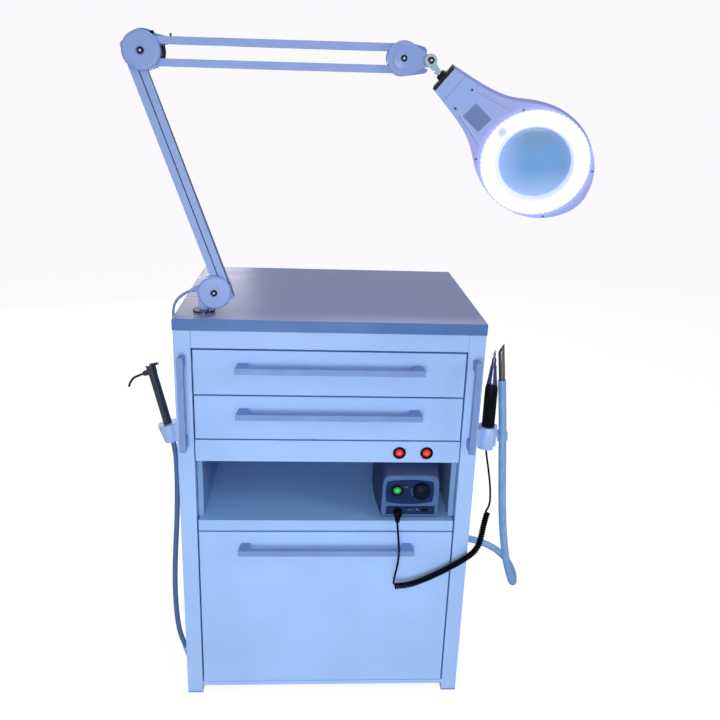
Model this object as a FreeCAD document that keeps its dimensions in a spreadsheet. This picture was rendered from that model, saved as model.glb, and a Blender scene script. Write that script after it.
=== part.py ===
"""A floor-standing clinic cabinet on a steel frame: three drawers, an open bay with a handpiece control
unit, a syringe, a handpiece and a suction hose at its sides, and a spring-balanced magnifier lamp on top.

Frame: millimetres, +X right, -Y towards the user, +Z up, origin on the floor under the cabinet's centre.
"""
import FreeCAD, Part
import Sketcher
import math
import os
import re
from types import SimpleNamespace

Vector = FreeCAD.Vector
Rotation = FreeCAD.Rotation
Placement = FreeCAD.Placement

doc = FreeCAD.newDocument("clinic_cabinet")
sheet = doc.addObject("Spreadsheet::Sheet", "Sizes")

SIZES = {
    # worktop and welded frame
    "worktop_wide": 550,
    "worktop_deep": 430,
    "worktop_top": 790,
    "board_thick": 20,
    "laminate_thick": 1,
    "edge_band_thick": 2,
    "overhang": 1,
    "post_side": 30,
    "tube_wall": 2,
    "glide_thick": 3,
    "glide_plug_tall": 16,
    "front_rail_tall": 32,
    "top_rail_tall": 30,
    "sill_bottom": 17,
    "sill_tall": 9,
    # carcass boards
    "side_panel_thick": 16,
    "back_panel_thick": 6,
    "back_panel_inset": 2,
    "bottom_panel_thick": 8,
    "front_thick": 18,
    "front_gap": 3,
    "sill_gap": 1.5,
    "small_front_tall": 82.5,
    "switch_panel_tall": 42,
    "panel_side_gap": 2,
    "bay_tall": 123,
    "shelf_thick": 22,
    "shelf_side_gap": 3,
    "ceiling_thick": 6,
    "liner_thick": 10,
    "liner_side_gap": 1,
    "cleat_side": 20,
    "cleat_wall": 2,
    # drawers and their runners
    "channel_thick": 12,
    "channel_wall": 2,
    "channel_tall": 36,
    "deep_channel_tall": 46,
    "channel_end_gap": 5.7,
    "slide_gap": 0.3,
    "tray_side_gap": 2,
    "tray_wall": 12,
    "tray_floor": 6,
    "small_tray_tall": 60,
    "deep_tray_drop": 55.5,
    "tray_lift": 10,
    # bar handles
    "handle_long": 332,
    "handle_tall": 11,
    "handle_reach": 31,
    "handle_bar_deep": 10,
    "handle_foot_root": 17,
    "handle_foot_bar": 24,
    "handle_end_slant": 4,
    "handle_drop": 28.5,
    "post_handle_long": 177,
    "post_handle_drop": 129.5,
    "handle_screw_radius": 2,
    # round rocker switches
    "switch_inset": 113.5,
    "switch_drop": 1.5,
    "switch_pitch": 50.5,
    "switch_bezel_radius": 12,
    "switch_bezel_thick": 2,
    "switch_body_radius": 10,
    "switch_body_deep": 30,
    "switch_well_radius": 7.8,
    "switch_well_deep": 12,
    "rocker_radius": 7.5,
    "rocker_tilt": 7,
    # hollow holders on the sides
    "holder_plate_thick": 3,
    "holder_setback": 64,
    "syringe_lean": 13,
    "syringe_radius": 8,
    "syringe_stand_off": 23.6,
    "syringe_drop": 239,
    "syringe_cup_radius": 17,
    "syringe_cup_tall": 35,
    "syringe_long": 132,
    "seat_gap": 0.3,
    "handpiece_stand_off": 33,
    "handpiece_drop": 265,
    "handpiece_floor": 6,
    "handpiece_cup_tall": 44,
    "handpiece_cup_radius": 18.5,
    "grip_radius": 12.25,
    "grip_lift": 130,
    "nose_long": 40,
    "bur_long": 27,
    "cannula_radius": 6,
    "cannula_wall": 1,
    "cannula_tip_lift": 78,
    # cords and hoses
    "lamp_cord_radius": 2.5,
    "syringe_hose_radius": 5,
    "suction_hose_radius": 7.5,
    "cradle_wall": 3,
    "cradle_long": 18,
    "cradle_arm_thick": 5,
    "cradle_arm_tall": 14,
    "lead_radius": 2,
    "coil_radius": 6,
    "gland_spread": 6,
    "gland_flange_thick": 3,
    # handpiece control unit
    "unit_inset": 142,
    "unit_wide": 111,
    "unit_setback": 8,
    "unit_deep": 175,
    "unit_foot_tall": 2,
    "unit_base_tall": 7,
    "unit_brow_tall": 88,
    "unit_tall": 115,
    "unit_wall": 2.5,
    "unit_fascia_thick": 1.2,
    "unit_power_in": 29.3,
    "unit_dial_in": 75.2,
    "unit_dial_lift": 61,
    "dial_radius": 16.5,
    "dial_deep": 14,
    "dial_shaft_radius": 3,
    "shaft_gap": 0.05,
    "socket_in": 31.5,
    "socket_lift": 17.5,
    "socket_radius": 8,
    "plug_radius": 7.5,
    "plug_head_radius": 8.6,
    "plug_deep": 12,
    "slider_in": 84,
    "slider_lift": 19.5,
    "slider_wide": 5,
    "slider_tall": 4,
    "slider_travel": 6,
    # lamp: swivel, base and elbow
    "lamp_inset": 48.6,
    "lamp_setback": 56.6,
    "flange_radius": 19.5,
    "flange_thick": 3,
    "bush_radius": 9,
    "bush_long": 26,
    "pin_radius": 6,
    "running_gap": 0.05,
    "base_reach": 20.3,
    "base_lift": 36,
    "base_radius": 29.5,
    "elbow_reach": -85.3,
    "elbow_lift": 428,
    "elbow_radius": 31,
    "back_cover_radius": 33,
    "bar_depth": 12,
    "plate_gap": 0.5,
    "plate_thick": 2,
    "cover_deep": 8,
    "bar_wide": 13,
    "upper_bar_tall": 12.2,
    "lower_pair_shift": 16,
    "pivot_across": 24.2,
    "pivot_down": 26.7,
    "pivot_radius": 3,
    "bolt_radius": 4.5,
    "upper_pivot_in": 16,
    "upper_pivot_half": 16.7,
    "spring_radius": 3.6,
    # lamp: wrist, fork and head
    "wrist_reach": 334,
    "wrist_lift": 431.4,
    "wrist_radius": 27,
    "wrist_pivot_back": 8,
    "knuckle_reach": 44.7,
    "knuckle_drop": 1.5,
    "cheek_radius": 10.5,
    "cheek_thick": 4.5,
    "tongue_half": 5.2,
    "stem_reach": 11.4,
    "stem_drop": 15.1,
    "stem_radius": 4,
    "neck_reach": 26.4,
    "neck_drop": 26.8,
    "head_droop": 38.1,
    "head_roll": 20,
    "neck_long": 208,
    "head_thick": 22,
    "shell_wall": 2.5,
    "neck_half": 23.5,
    "head_half": 92.5,
    "head_far": 108,
    "lens_radius": 63.5,
    "lens_rim": 3,
    "led_outer": 88.5,
    "lens_crown": 5,
    "cap_thick": 5.5,
    "cover_plate_thick": 3,
    "lid_radius": 69,
}

for row, (name, value) in enumerate(SIZES.items(), 1):
    sheet.set(f"A{row}", name)
    sheet.set(f"B{row}", str(value))
    sheet.setAlias(f"B{row}", name)
doc.recompute()
size = SimpleNamespace(**{name: float(sheet.get(name)) for name in SIZES})
nodes = []


# --- the ways that the pieces are made ---------------------------------------------------------------

def on_sheet(text):
    """An expression with each size's name pointed at its cell."""
    return re.sub(r"[a-z_]+", lambda word: f"Sizes.{word[0]}" if word[0] in SIZES else word[0], str(text))


def bind(piece, prop, text):
    piece.setExpression(prop, on_sheet(text))


def place(piece, x, y, z, turn=None):
    """Stand a piece at three expressions, turned by a rotation."""
    if turn is not None:
        piece.Placement = Placement(Vector(), turn)
    for axis, text in zip("xyz", (x, y, z)):
        bind(piece, f"Placement.Base.{axis}", text)


def block(name, x, y, z):
    """A block between two expressions on each axis."""
    piece = doc.addObject("Part::Box", name)
    for prop, (low, high) in zip(("Length", "Width", "Height"), (x, y, z)):
        bind(piece, prop, f"({high}) - ({low})")
    place(piece, x[0], y[0], z[0])
    return piece


UP = Rotation()
BACK = Rotation(Vector(1, 0, 0), -90)
RIGHT = Rotation(Vector(0, 1, 0), 90)


def rod(name, radius, length, at, way=UP):
    """A cylinder from a point: UP along +Z, BACK along +Y or RIGHT along +X."""
    piece = doc.addObject("Part::Cylinder", name)
    bind(piece, "Radius", radius)
    bind(piece, "Height", length)
    place(piece, *at, way)
    return piece


def joined(name, *pieces):
    piece = doc.addObject("Part::MultiFuse", name)
    piece.Shapes = list(pieces)
    return piece


def cut(name, base, *tools):
    piece = doc.addObject("Part::Cut", name)
    piece.Base = base
    piece.Tool = tools[0] if len(tools) == 1 else joined(name + "_cutters", *tools)
    return piece


def solid(name, shape, placement=None):
    """A free-form piece, made from the sheet's sizes."""
    piece = doc.addObject("Part::Feature", name)
    piece.Shape = shape
    if placement is not None:
        piece.Placement = placement
    return piece


def node(label, *pieces):
    """One named sub-part: a single piece, or a group of like pieces."""
    if len(pieces) == 1:
        whole = pieces[0]
    else:
        whole = doc.addObject("Part::Compound", label + "_set")
        whole.Links = list(pieces)
    whole.Label = label
    nodes.append(whole)
    return whole


def sketch(body, role, points):
    """A closed outline on one of a body's origin planes, each corner held by two expressions."""
    plane = [feature for feature in body.Origin.OriginFeatures if feature.Role == role][0]
    drawing = body.newObject("Sketcher::SketchObject", body.Name + "_outline")
    drawing.AttachmentSupport = [(plane, "")]
    drawing.MapMode = "FlatFace"
    count = len(points)
    ring = [Vector(math.cos(math.tau * i / count), math.sin(math.tau * i / count), 0) for i in range(count)]
    for i in range(count):
        drawing.addGeometry(Part.LineSegment(ring[i], ring[(i + 1) % count]))
    for i in range(count):
        drawing.addConstraint(Sketcher.Constraint("Coincident", i, 2, (i + 1) % count, 1))
    for i, corner in enumerate(points):
        for kind, text in zip(("DistanceX", "DistanceY"), corner):
            held = drawing.addConstraint(Sketcher.Constraint(kind, -1, 1, i, 1, 1.0))
            drawing.setExpression(f"Constraints[{held}]", on_sheet(text))
    return drawing


def padded_body(name, role, points, length, midplane=False):
    """A PartDesign body: one outline, padded."""
    body = doc.addObject("PartDesign::Body", name)
    pad = body.newObject("PartDesign::Pad", name + "_pad")
    pad.Profile = sketch(body, role, points)
    bind(pad, "Length", length)
    pad.Midplane = midplane
    return body


def rectangle(x, y):
    return [(x[0], y[0]), (x[1], y[0]), (x[1], y[1]), (x[0], y[1])]


def link_face(first, second):
    """The flat outline round two circles (x, z, radius) in the XZ plane."""
    (x1, z1, r1), (x2, z2, r2) = first, second
    heading = math.atan2(z2 - z1, x2 - x1)
    lean = math.acos((r1 - r2) / math.hypot(x2 - x1, z2 - z1))

    def on(circle, angle):
        return Vector(circle[0] + circle[2] * math.cos(angle), 0, circle[1] + circle[2] * math.sin(angle))

    near = [on(first, heading + a) for a in (lean, math.pi, -lean)]
    far = [on(second, heading + a) for a in (-lean, 0, lean)]
    return Part.Face(Part.Wire([
        Part.Arc(*near).toShape(),
        Part.makeLine(near[-1], far[0]),
        Part.Arc(*far).toShape(),
        Part.makeLine(far[-1], near[0]),
    ]))


def link(first, second, y_low, y_high):
    """A plate round two circles, between two depths."""
    face = link_face(first, second)
    face.translate(Vector(0, y_low, 0))
    return face.extrude(Vector(0, y_high - y_low, 0))


def disc(x, z, radius, y_low, y_high):
    return Part.makeCylinder(radius, y_high - y_low, Vector(x, y_low, z), Vector(0, 1, 0))


# --- worktop and frame -------------------------------------------------------------------------------

FRAME_X = "(worktop_wide / 2 - overhang)"
FRAME_Y = "(worktop_deep / 2 - overhang)"
INNER_X = f"({FRAME_X} - post_side)"
INNER_Y = f"({FRAME_Y} - post_side)"
UNDERSIDE = "(worktop_top - laminate_thick - board_thick)"
SILL_TOP = "(sill_bottom + sill_tall)"


def mirrored(side, inner, outer):
    """The low and high ends of a stretch on the left (-1) or the right (1)."""
    return (inner, outer) if side > 0 else (f"-({outer})", f"-({inner})")


# The worktop: a laminated board with a plastic band round its edge. The lamp's bush passes through it.
board = block(
    "worktop_core",
    ("-worktop_wide / 2 + edge_band_thick", "worktop_wide / 2 - edge_band_thick"),
    ("-worktop_deep / 2 + edge_band_thick", "worktop_deep / 2 - edge_band_thick"),
    (UNDERSIDE, "worktop_top"),
)
bush_hole = rod("worktop_bush_hole", "bush_radius + seat_gap", "board_thick * 3",
                ("lamp_inset - worktop_wide / 2", "lamp_setback - worktop_deep / 2",
                 UNDERSIDE + " - board_thick"))
node("worktop_board", cut("worktop_drilled", board, bush_hole))

band = block(
    "edge_band_outer",
    ("-worktop_wide / 2", "worktop_wide / 2"),
    ("-worktop_deep / 2", "worktop_deep / 2"),
    (UNDERSIDE, "worktop_top - laminate_thick"),
)
band_hole = block(
    "edge_band_inner",
    ("-worktop_wide / 2 + edge_band_thick", "worktop_wide / 2 - edge_band_thick"),
    ("-worktop_deep / 2 + edge_band_thick", "worktop_deep / 2 - edge_band_thick"),
    (UNDERSIDE + " - board_thick", "worktop_top + board_thick"),
)
node("worktop_edge_band", cut("edge_band", band, band_hole))

# Four square steel tubes stand on plastic glides and carry everything.
posts, glides = [], []
for side_x in (-1, 1):
    for side_y in (-1, 1):
        mark = f"{'left' if side_x < 0 else 'right'}_{'front' if side_y < 0 else 'rear'}"
        tube_x = mirrored(side_x, INNER_X, FRAME_X)
        tube_y = mirrored(side_y, INNER_Y, FRAME_Y)
        bore_x = (tube_x[0] + " + tube_wall", tube_x[1] + " - tube_wall")
        bore_y = (tube_y[0] + " + tube_wall", tube_y[1] + " - tube_wall")
        plug_x = (bore_x[0] + " + seat_gap", bore_x[1] + " - seat_gap")
        plug_y = (bore_y[0] + " + seat_gap", bore_y[1] + " - seat_gap")
        tube = block("tube_" + mark, tube_x, tube_y, ("glide_thick", UNDERSIDE))
        bore = block("bore_" + mark, bore_x, bore_y, ("0", UNDERSIDE + " + post_side"))
        posts.append(cut("post_" + mark, tube, bore))
        sole = block("sole_" + mark, tube_x, tube_y, ("0", "glide_thick"))
        plug = block("plug_" + mark, plug_x, plug_y, ("0", "glide_thick + glide_plug_tall"))
        glides.append(joined("glide_" + mark, sole, plug))
node("frame_posts", *posts)
node("foot_glides", *glides)

# Rails tie the posts together under the worktop and just above the floor. Angle cleats between the posts
# carry the bay's shelf, and two short angles hold the switch panel.
PANEL_BACK = f"(-{FRAME_Y} + front_thick)"
DRAWER_TOP = f"({UNDERSIDE} - front_rail_tall - front_gap)"
UPPER_BOTTOM = f"({DRAWER_TOP} - small_front_tall)"
MIDDLE_TOP = f"({UPPER_BOTTOM} - front_gap)"
MIDDLE_BOTTOM = f"({MIDDLE_TOP} - small_front_tall)"
SWITCH_TOP = f"({MIDDLE_BOTTOM} - front_gap)"
BAY_TOP = f"({SWITCH_TOP} - switch_panel_tall)"
SHELF_TOP = f"({BAY_TOP} - bay_tall)"
SHELF_BOTTOM = f"({SHELF_TOP} - shelf_thick)"
DEEP_TOP = f"({SHELF_BOTTOM} - front_gap)"
DEEP_BOTTOM = f"({SILL_TOP} + sill_gap)"
BACK_FACE = f"({FRAME_Y} - back_panel_inset - back_panel_thick)"
TRAY_DEEP = f"({INNER_Y} - {PANEL_BACK})"



def tube_rail(name, x, y, z, way):
    """A square tube that runs along X or Y."""
    bore = [(f"{low} + tube_wall", f"{high} - tube_wall") for low, high in (x, y, z)]
    bore["xy".index(way)] = (f"{(x, y)['xy'.index(way)][0]} - 5", f"{(x, y)['xy'.index(way)][1]} + 5")
    return cut(name, block(name + "_tube", x, y, z), block(name + "_bore", *bore))


across = (f"-{INNER_X}", INNER_X)
along = (f"-{INNER_Y}", INNER_Y)
front_y, rear_y = (f"-{FRAME_Y}", f"-{INNER_Y}"), (INNER_Y, FRAME_Y)
top_z, sill_z = (UNDERSIDE + " - top_rail_tall", UNDERSIDE), ("sill_bottom", SILL_TOP)
rails = [
    tube_rail("rail_front_top", across, front_y, (UNDERSIDE + " - front_rail_tall", UNDERSIDE), "x"),
    tube_rail("rail_rear_top", across, rear_y, top_z, "x"),
    tube_rail("rail_front_sill", across, front_y, sill_z, "x"),
    tube_rail("rail_rear_sill", across, rear_y, sill_z, "x"),
]
for side in (-1, 1):
    mark = "left" if side < 0 else "right"
    reach = (f"-{INNER_Y} - cleat_side / 2", f"{INNER_Y} + cleat_side / 2")
    rails.append(tube_rail("rail_top_" + mark, mirrored(side, INNER_X, FRAME_X), along, top_z, "y"))
    rails.append(tube_rail("rail_sill_" + mark, mirrored(side, INNER_X, FRAME_X), along, sill_z, "y"))
    web = block("cleat_web_" + mark, mirrored(side, INNER_X + " - cleat_wall", INNER_X), reach,
                (SHELF_BOTTOM + " - cleat_side", SHELF_BOTTOM))
    ledge = block("cleat_ledge_" + mark, mirrored(side, INNER_X + " - cleat_side", INNER_X), reach,
                  (SHELF_BOTTOM + " - cleat_wall", SHELF_BOTTOM))
    rails.append(joined("cleat_" + mark, web, ledge))
    angle_z = (BAY_TOP + " + ceiling_thick * 2", SWITCH_TOP + " - ceiling_thick")
    web = block("angle_web_" + mark, mirrored(side, INNER_X + " - cleat_wall", INNER_X),
                (PANEL_BACK, f"-{INNER_Y}"), angle_z)
    flap = block("angle_flap_" + mark, mirrored(side, INNER_X + " - cleat_side", INNER_X),
                 (PANEL_BACK, PANEL_BACK + " + cleat_wall"), angle_z)
    rails.append(joined("angle_" + mark, web, flap))
node("frame_rails", *rails)

# Side panels fill the frame between posts and rails, the back panel stands between the rear posts.
panels = []
for side in (-1, 1):
    mark = "left" if side < 0 else "right"
    panels.append(block("panel_" + mark, mirrored(side, FRAME_X + " - side_panel_thick", FRAME_X), along,
                        (SILL_TOP, UNDERSIDE + " - top_rail_tall")))
node("side_panels", *panels)

INLET_X = "140"
INLET_Z = "80"
back_board = block("back_board", across, (BACK_FACE, BACK_FACE + " + back_panel_thick"),
                   (SILL_TOP, UNDERSIDE + " - top_rail_tall"))
inlet_hole = block("back_inlet_hole", (INLET_X + " - 14", INLET_X + " + 14"),
                   (BACK_FACE + " - 5", BACK_FACE + " + back_panel_thick + 5"),
                   (INLET_Z + " - 10", INLET_Z + " + 10"))
CABLE_X = "-145"
CABLE_Z = f"({SHELF_TOP} + 62)"
cable_hole = rod("back_cable_hole", "21", "back_panel_thick + 10", (CABLE_X, BACK_FACE + " - 5", CABLE_Z),
                 BACK)
node("back_panel", cut("back_cut", back_board, inlet_hole, cable_hole))
node("bottom_panel", block("bottom_board", across, (PANEL_BACK + " + seat_gap", BACK_FACE),
                           (SILL_TOP, SILL_TOP + " + bottom_panel_thick")))

# The open bay: a thick shelf on the cleats, a lining board at each side and a thin ceiling on the linings.
node("bay_shelf", block("shelf_board", (f"-{INNER_X} + shelf_side_gap", f"{INNER_X} - shelf_side_gap"),
                        (f"-{FRAME_Y}", BACK_FACE), (SHELF_BOTTOM, SHELF_TOP)))
lining = [block("bay_ceiling", (f"-{INNER_X} + liner_side_gap", f"{INNER_X} - liner_side_gap"),
                (PANEL_BACK, BACK_FACE), (BAY_TOP, BAY_TOP + " + ceiling_thick"))]
for side in (-1, 1):
    outer = INNER_X + " - liner_side_gap"
    lining.append(block(f"liner_{'left' if side < 0 else 'right'}",
                        mirrored(side, outer + " - liner_thick", outer),
                        (PANEL_BACK, BACK_FACE), (SHELF_TOP, BAY_TOP)))
node("bay_lining", *lining)

# The switch panel closes the gap between the bay and the drawers and carries two round rockers.
SWITCH_Z = f"({BAY_TOP} + switch_panel_tall / 2 - switch_drop)"
face = block("switch_board", (f"-{INNER_X} + panel_side_gap", f"{INNER_X} - panel_side_gap"),
             (f"-{FRAME_Y}", PANEL_BACK), (BAY_TOP, SWITCH_TOP))
holes, housings = [], []
for turn, mark in enumerate(("left", "right")):
    at_x = f"({INNER_X} - switch_inset + switch_pitch * {turn})"
    front = f"(-{FRAME_Y})"
    holes.append(rod("switch_hole_" + mark, "switch_body_radius + seat_gap", "front_thick * 3",
                     (at_x, front + " - front_thick", SWITCH_Z), BACK))
    bezel = rod("bezel_" + mark, "switch_bezel_radius", "switch_bezel_thick",
                (at_x, front + " - switch_bezel_thick", SWITCH_Z), BACK)
    barrel = rod("barrel_" + mark, "switch_body_radius", "switch_body_deep", (at_x, front, SWITCH_Z), BACK)
    well = rod("well_" + mark, "switch_well_radius", "switch_well_deep + switch_bezel_thick",
               (at_x, front + " - switch_bezel_thick", SWITCH_Z), BACK)
    housings.append(cut("housing_" + mark, joined("housing_body_" + mark, bezel, barrel), well))
node("switch_panel", cut("switch_panel_cut", face, *holes))
node("switch_housings", *housings)


def rocker(name, at_x, pivot_y, at_z, radius, tilt):
    """A round rocker button: a ball's middle slice with a shallow valley, resting on its off side."""
    ball = Part.makeSphere(radius)
    slab = Part.makeBox(radius * 2, radius * 1.1, radius * 2, Vector(-radius, -radius * 0.6, -radius))
    button = ball.common(slab)
    for lean in (-1, 1):
        wedge = Part.makeBox(radius * 4, radius, radius * 4, Vector(-radius * 2, -radius * 1.5, -radius * 2))
        wedge.rotate(Vector(0, -radius * 0.5, 0), Vector(1, 0, 0), lean * tilt)
        button = button.cut(wedge)
    turn = Rotation(Vector(1, 0, 0), tilt)
    return node(name, solid(name, button, Placement(Vector(at_x, pivot_y, at_z), turn)))


frame_x = size.worktop_wide / 2 - size.overhang
frame_y = size.worktop_deep / 2 - size.overhang
inner_x = frame_x - size.post_side
underside = size.worktop_top - size.laminate_thick - size.board_thick
bay_top = (underside - size.front_rail_tall - size.front_gap * 3 - size.small_front_tall * 2
           - size.switch_panel_tall)
shelf_top = bay_top - size.bay_tall
switch_z = bay_top + size.switch_panel_tall / 2 - size.switch_drop
for turn, mark in enumerate(("left", "right")):
    rocker("switch_rocker_" + mark, inner_x - size.switch_inset + size.switch_pitch * turn, -frame_y + 2,
           switch_z, size.rocker_radius, size.rocker_tilt)


# Where the fitted equipment stands, as plain numbers for the pieces that are made from shapes.
table = size.worktop_top
lx, ly = size.lamp_inset - size.worktop_wide / 2, size.lamp_setback - size.worktop_deep / 2
side_y = size.holder_setback - frame_y
syringe_x, syringe_z = -frame_x - size.syringe_stand_off, table - size.syringe_drop
hp_x, hp_z = frame_x + size.handpiece_stand_off, table - size.handpiece_drop
unit_left, unit_front = inner_x - size.unit_inset, size.unit_setback - frame_y
unit_top = shelf_top + size.unit_tall
power_x, dial_x = unit_left + size.unit_power_in, unit_left + size.unit_dial_in
dial_z = shelf_top + size.unit_dial_lift
socket_x, socket_z = unit_left + size.socket_in, shelf_top + size.socket_lift
slider_x, slider_z = unit_left + size.slider_in, shelf_top + size.slider_lift


# --- drawers, runners and handles --------------------------------------------------------------------

def handle(name, long):
    """A bar handle: a flat bar on two feet that slant outwards to it, cut from one section."""
    half = f"({long} / 2)"
    bar_back = "-(handle_reach - handle_bar_deep)"
    end = f"({half} - handle_end_slant)"
    outline = [
        (f"-{half}", "-handle_reach"), (half, "-handle_reach"), (end, "0"),
        (f"{end} - handle_foot_root", "0"), (f"{half} - handle_foot_bar", bar_back),
        (f"-({half} - handle_foot_bar)", bar_back), (f"-({end} - handle_foot_root)", "0"), (f"-{end}", "0"),
    ]
    return padded_body(name, "XY_Plane", outline, "handle_tall", midplane=True)


# Each drawer is a board front screwed to an open tray, with a steel slide at each side. The slides run in
# channels that are screwed to the posts.
DRAWERS = {
    "upper": (DRAWER_TOP, UPPER_BOTTOM, "small_tray_tall", "channel_tall"),
    "middle": (MIDDLE_TOP, MIDDLE_BOTTOM, "small_tray_tall", "channel_tall"),
    "deep": (DEEP_TOP, DEEP_BOTTOM, f"({DEEP_TOP} - {DEEP_BOTTOM} - deep_tray_drop)", "deep_channel_tall"),
}
channels = []
for name, (top, bottom, tray_tall, channel_tall) in DRAWERS.items():
    tray_z = (f"{bottom} + tray_lift", f"{bottom} + tray_lift + {tray_tall}")
    tray_half = f"({INNER_X} - channel_thick - tray_side_gap)"
    tray_y = (PANEL_BACK, f"{PANEL_BACK} + {TRAY_DEEP}")
    middle = f"({bottom} + tray_lift + {tray_tall} / 2)"
    front = block(f"{name}_front_board", (f"-{INNER_X} + front_gap", f"{INNER_X} - front_gap"),
                  (f"-{FRAME_Y}", PANEL_BACK), (bottom, top))
    screw_x = "(handle_long / 2 - handle_foot_bar / 2 - handle_end_slant / 2)"
    handle_z = f"({top} - handle_drop)"
    screw_holes = [
        rod(f"{name}_screw_hole_{i}", "handle_screw_radius + seat_gap", "front_thick * 2",
            (f"{sign}{screw_x}", f"-{FRAME_Y} - front_thick / 2", handle_z), BACK)
        for i, sign in enumerate(("-", ""))
    ]
    node(f"drawer_{name}_front", cut(f"{name}_front_drilled", front, *screw_holes))

    bar = handle(f"{name}_handle", "handle_long")
    place(bar, "0", f"-{FRAME_Y}", handle_z)
    screws = [
        rod(f"{name}_screw_{i}", "handle_screw_radius", "front_thick",
            (f"{sign}{screw_x}", f"-{FRAME_Y}", handle_z), BACK)
        for i, sign in enumerate(("-", ""))
    ]
    node(f"drawer_{name}_handle", bar, *screws)

    tray = padded_body(f"{name}_tray", "XY_Plane", rectangle((f"-{tray_half}", tray_half), ("0", TRAY_DEEP)),
                       tray_tall)
    room = rectangle((f"-{tray_half} + tray_wall", f"{tray_half} - tray_wall"),
                     ("tray_wall", f"{TRAY_DEEP} - tray_wall"))
    hollow = tray.newObject("PartDesign::Pocket", f"{name}_tray_room")
    hollow.Profile = sketch(tray, "XY_Plane", room)
    bind(hollow, "Length", f"{tray_tall} - tray_floor")
    bind(hollow.Profile[0], "AttachmentOffset.Base.z", tray_tall)
    place(tray, "0", PANEL_BACK, tray_z[0])
    slides = []
    for side in (-1, 1):
        mark = f"{name}_{'left' if side < 0 else 'right'}"
        half_tall = f"{channel_tall} / 2"
        web_in = f"{INNER_X} - channel_wall"
        lip = f"{INNER_X} - channel_thick"
        run = (f"{PANEL_BACK} + seat_gap", f"{BACK_FACE} - channel_end_gap")
        channel = block("channel_" + mark, mirrored(side, lip, INNER_X), run,
                        (f"{middle} - {half_tall}", f"{middle} + {half_tall}"))
        groove = block("groove_" + mark, mirrored(side, lip + " - channel_wall", web_in),
                       (run[0] + " - 5", run[1] + " + 5"),
                       (f"{middle} - {half_tall} + channel_wall", f"{middle} + {half_tall} - channel_wall"))
        channels.append(cut("channel_cut_" + mark, channel, groove))
        slides.append(block("slide_" + mark, mirrored(side, tray_half, web_in + " - slide_gap"), tray_y,
                            (f"{middle} - {half_tall} + channel_wall + slide_gap",
                             f"{middle} + {half_tall} - channel_wall - slide_gap")))
    node(f"drawer_{name}_tray", tray, *slides)
node("runner_channels", *channels)

# Two upright handles of the same section on the front posts, for moving the cabinet.
grips = []
for side in (-1, 1):
    grip = handle(f"post_handle_{'left' if side < 0 else 'right'}", "post_handle_long")
    place(grip, f"{side} * ({FRAME_X} - post_side / 2)", f"-{FRAME_Y}", UNDERSIDE + " - post_handle_drop",
          Rotation(Vector(0, 1, 0), 90))
    grips.append(grip)
node("post_handles", *grips)

# The mains inlet at the back: a flanged socket with three pins in its well.
flange = block("inlet_flange", (INLET_X + " - 25", INLET_X + " + 25"),
               (BACK_FACE + " + back_panel_thick", FRAME_Y + " - 0.5"),
               (INLET_Z + " - 14", INLET_Z + " + 14"))
shroud = block("inlet_shroud", (INLET_X + " - 13.5", INLET_X + " + 13.5"),
               (BACK_FACE + " - 18", BACK_FACE + " + back_panel_thick"),
               (INLET_Z + " - 9.5", INLET_Z + " + 9.5"))
well = block("inlet_well", (INLET_X + " - 12", INLET_X + " + 12"),
             (BACK_FACE + " - 15", BACK_FACE + " + 30"), (INLET_Z + " - 8", INLET_Z + " + 8"))
pins = [
    block(f"inlet_pin_{i}", (f"{INLET_X} + {dx} - 1", f"{INLET_X} + {dx} + 1"),
          (BACK_FACE + " - 15", BACK_FACE + " - 1"), (f"{INLET_Z} + {dz} - 2", f"{INLET_Z} + {dz} + 2"))
    for i, (dx, dz) in enumerate(((-7, -2), (0, 2), (7, -2)))
]
inlet_body = cut("inlet_body", joined("inlet_shell", flange, shroud), well)
node("mains_inlet", joined("inlet_whole", inlet_body, *pins))


# --- cords and hoses ---------------------------------------------------------------------------------

def route_wire(points):
    """Straight runs joined by tangent arcs, each as large as 0.45 of its shorter run allows.

    Returns the wire, its length and the radii of its arcs."""
    points = [Vector(*p) for p in points]
    edges, radii, start = [], [], points[0]
    for before, corner, after in zip(points, points[1:], points[2:]):
        into, out = corner - before, after - corner
        turn = into.getAngle(out)
        reach = 0.45 * min(into.Length, out.Length)
        radius = reach / math.tan(turn / 2)
        radii.append(radius)
        into.normalize()
        out.normalize()
        first, last = corner - into * reach, corner + out * reach
        inward = (out - into).normalize()
        middle = corner + inward * (radius / math.cos(turn / 2) - radius)
        edges.append(Part.LineSegment(start, first).toShape())
        edges.append(Part.Arc(first, middle, last).toShape())
        start = last
    edges.append(Part.LineSegment(start, points[-1]).toShape())
    wire = Part.Wire(edges)
    return wire, wire.Length, radii


def tube(name, points, radius):
    """A round tube along a route, its volume held against section times length."""
    wire, length, radii = route_wire(points)
    heading = Vector(*points[1]) - Vector(*points[0])
    ring = Part.Wire(Part.makeCircle(radius, Vector(*points[0]), heading))
    shape = wire.makePipeShell([ring], True, True)
    ratio = shape.Volume / (math.pi * radius**2 * length)
    print(f"{name}: length {length:.1f}, tightest arc {min(radii):.1f}, volume ratio {ratio:.4f}")
    return solid(name, shape)


def gland(name, point, heading, hose_radius):
    """A flanged boss on a side panel: the hose or cord ends face to face at its outer end."""
    side = 1 if point[0] > 0 else -1
    end = Vector(*point)
    way = Vector(*heading).normalize()
    reach = abs((side * frame_x - end.x) / way.x)
    centre = end + way * reach
    boss = Part.makeCone(hose_radius + 1.2, hose_radius + 2.5, reach + size.gland_spread, end, way)
    flange = Part.makeCylinder(hose_radius + size.gland_spread, size.gland_flange_thick,
                               Vector(side * frame_x, centre.y, centre.z), Vector(side, 0, 0))
    whole = boss.fuse(flange)
    span = size.worktop_wide
    keep = Part.makeBox(span, size.worktop_deep * 2, table, Vector(frame_x if side > 0 else -frame_x - span,
                                                                 -size.worktop_deep, 0))
    return solid(name, whole.common(keep))


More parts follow.
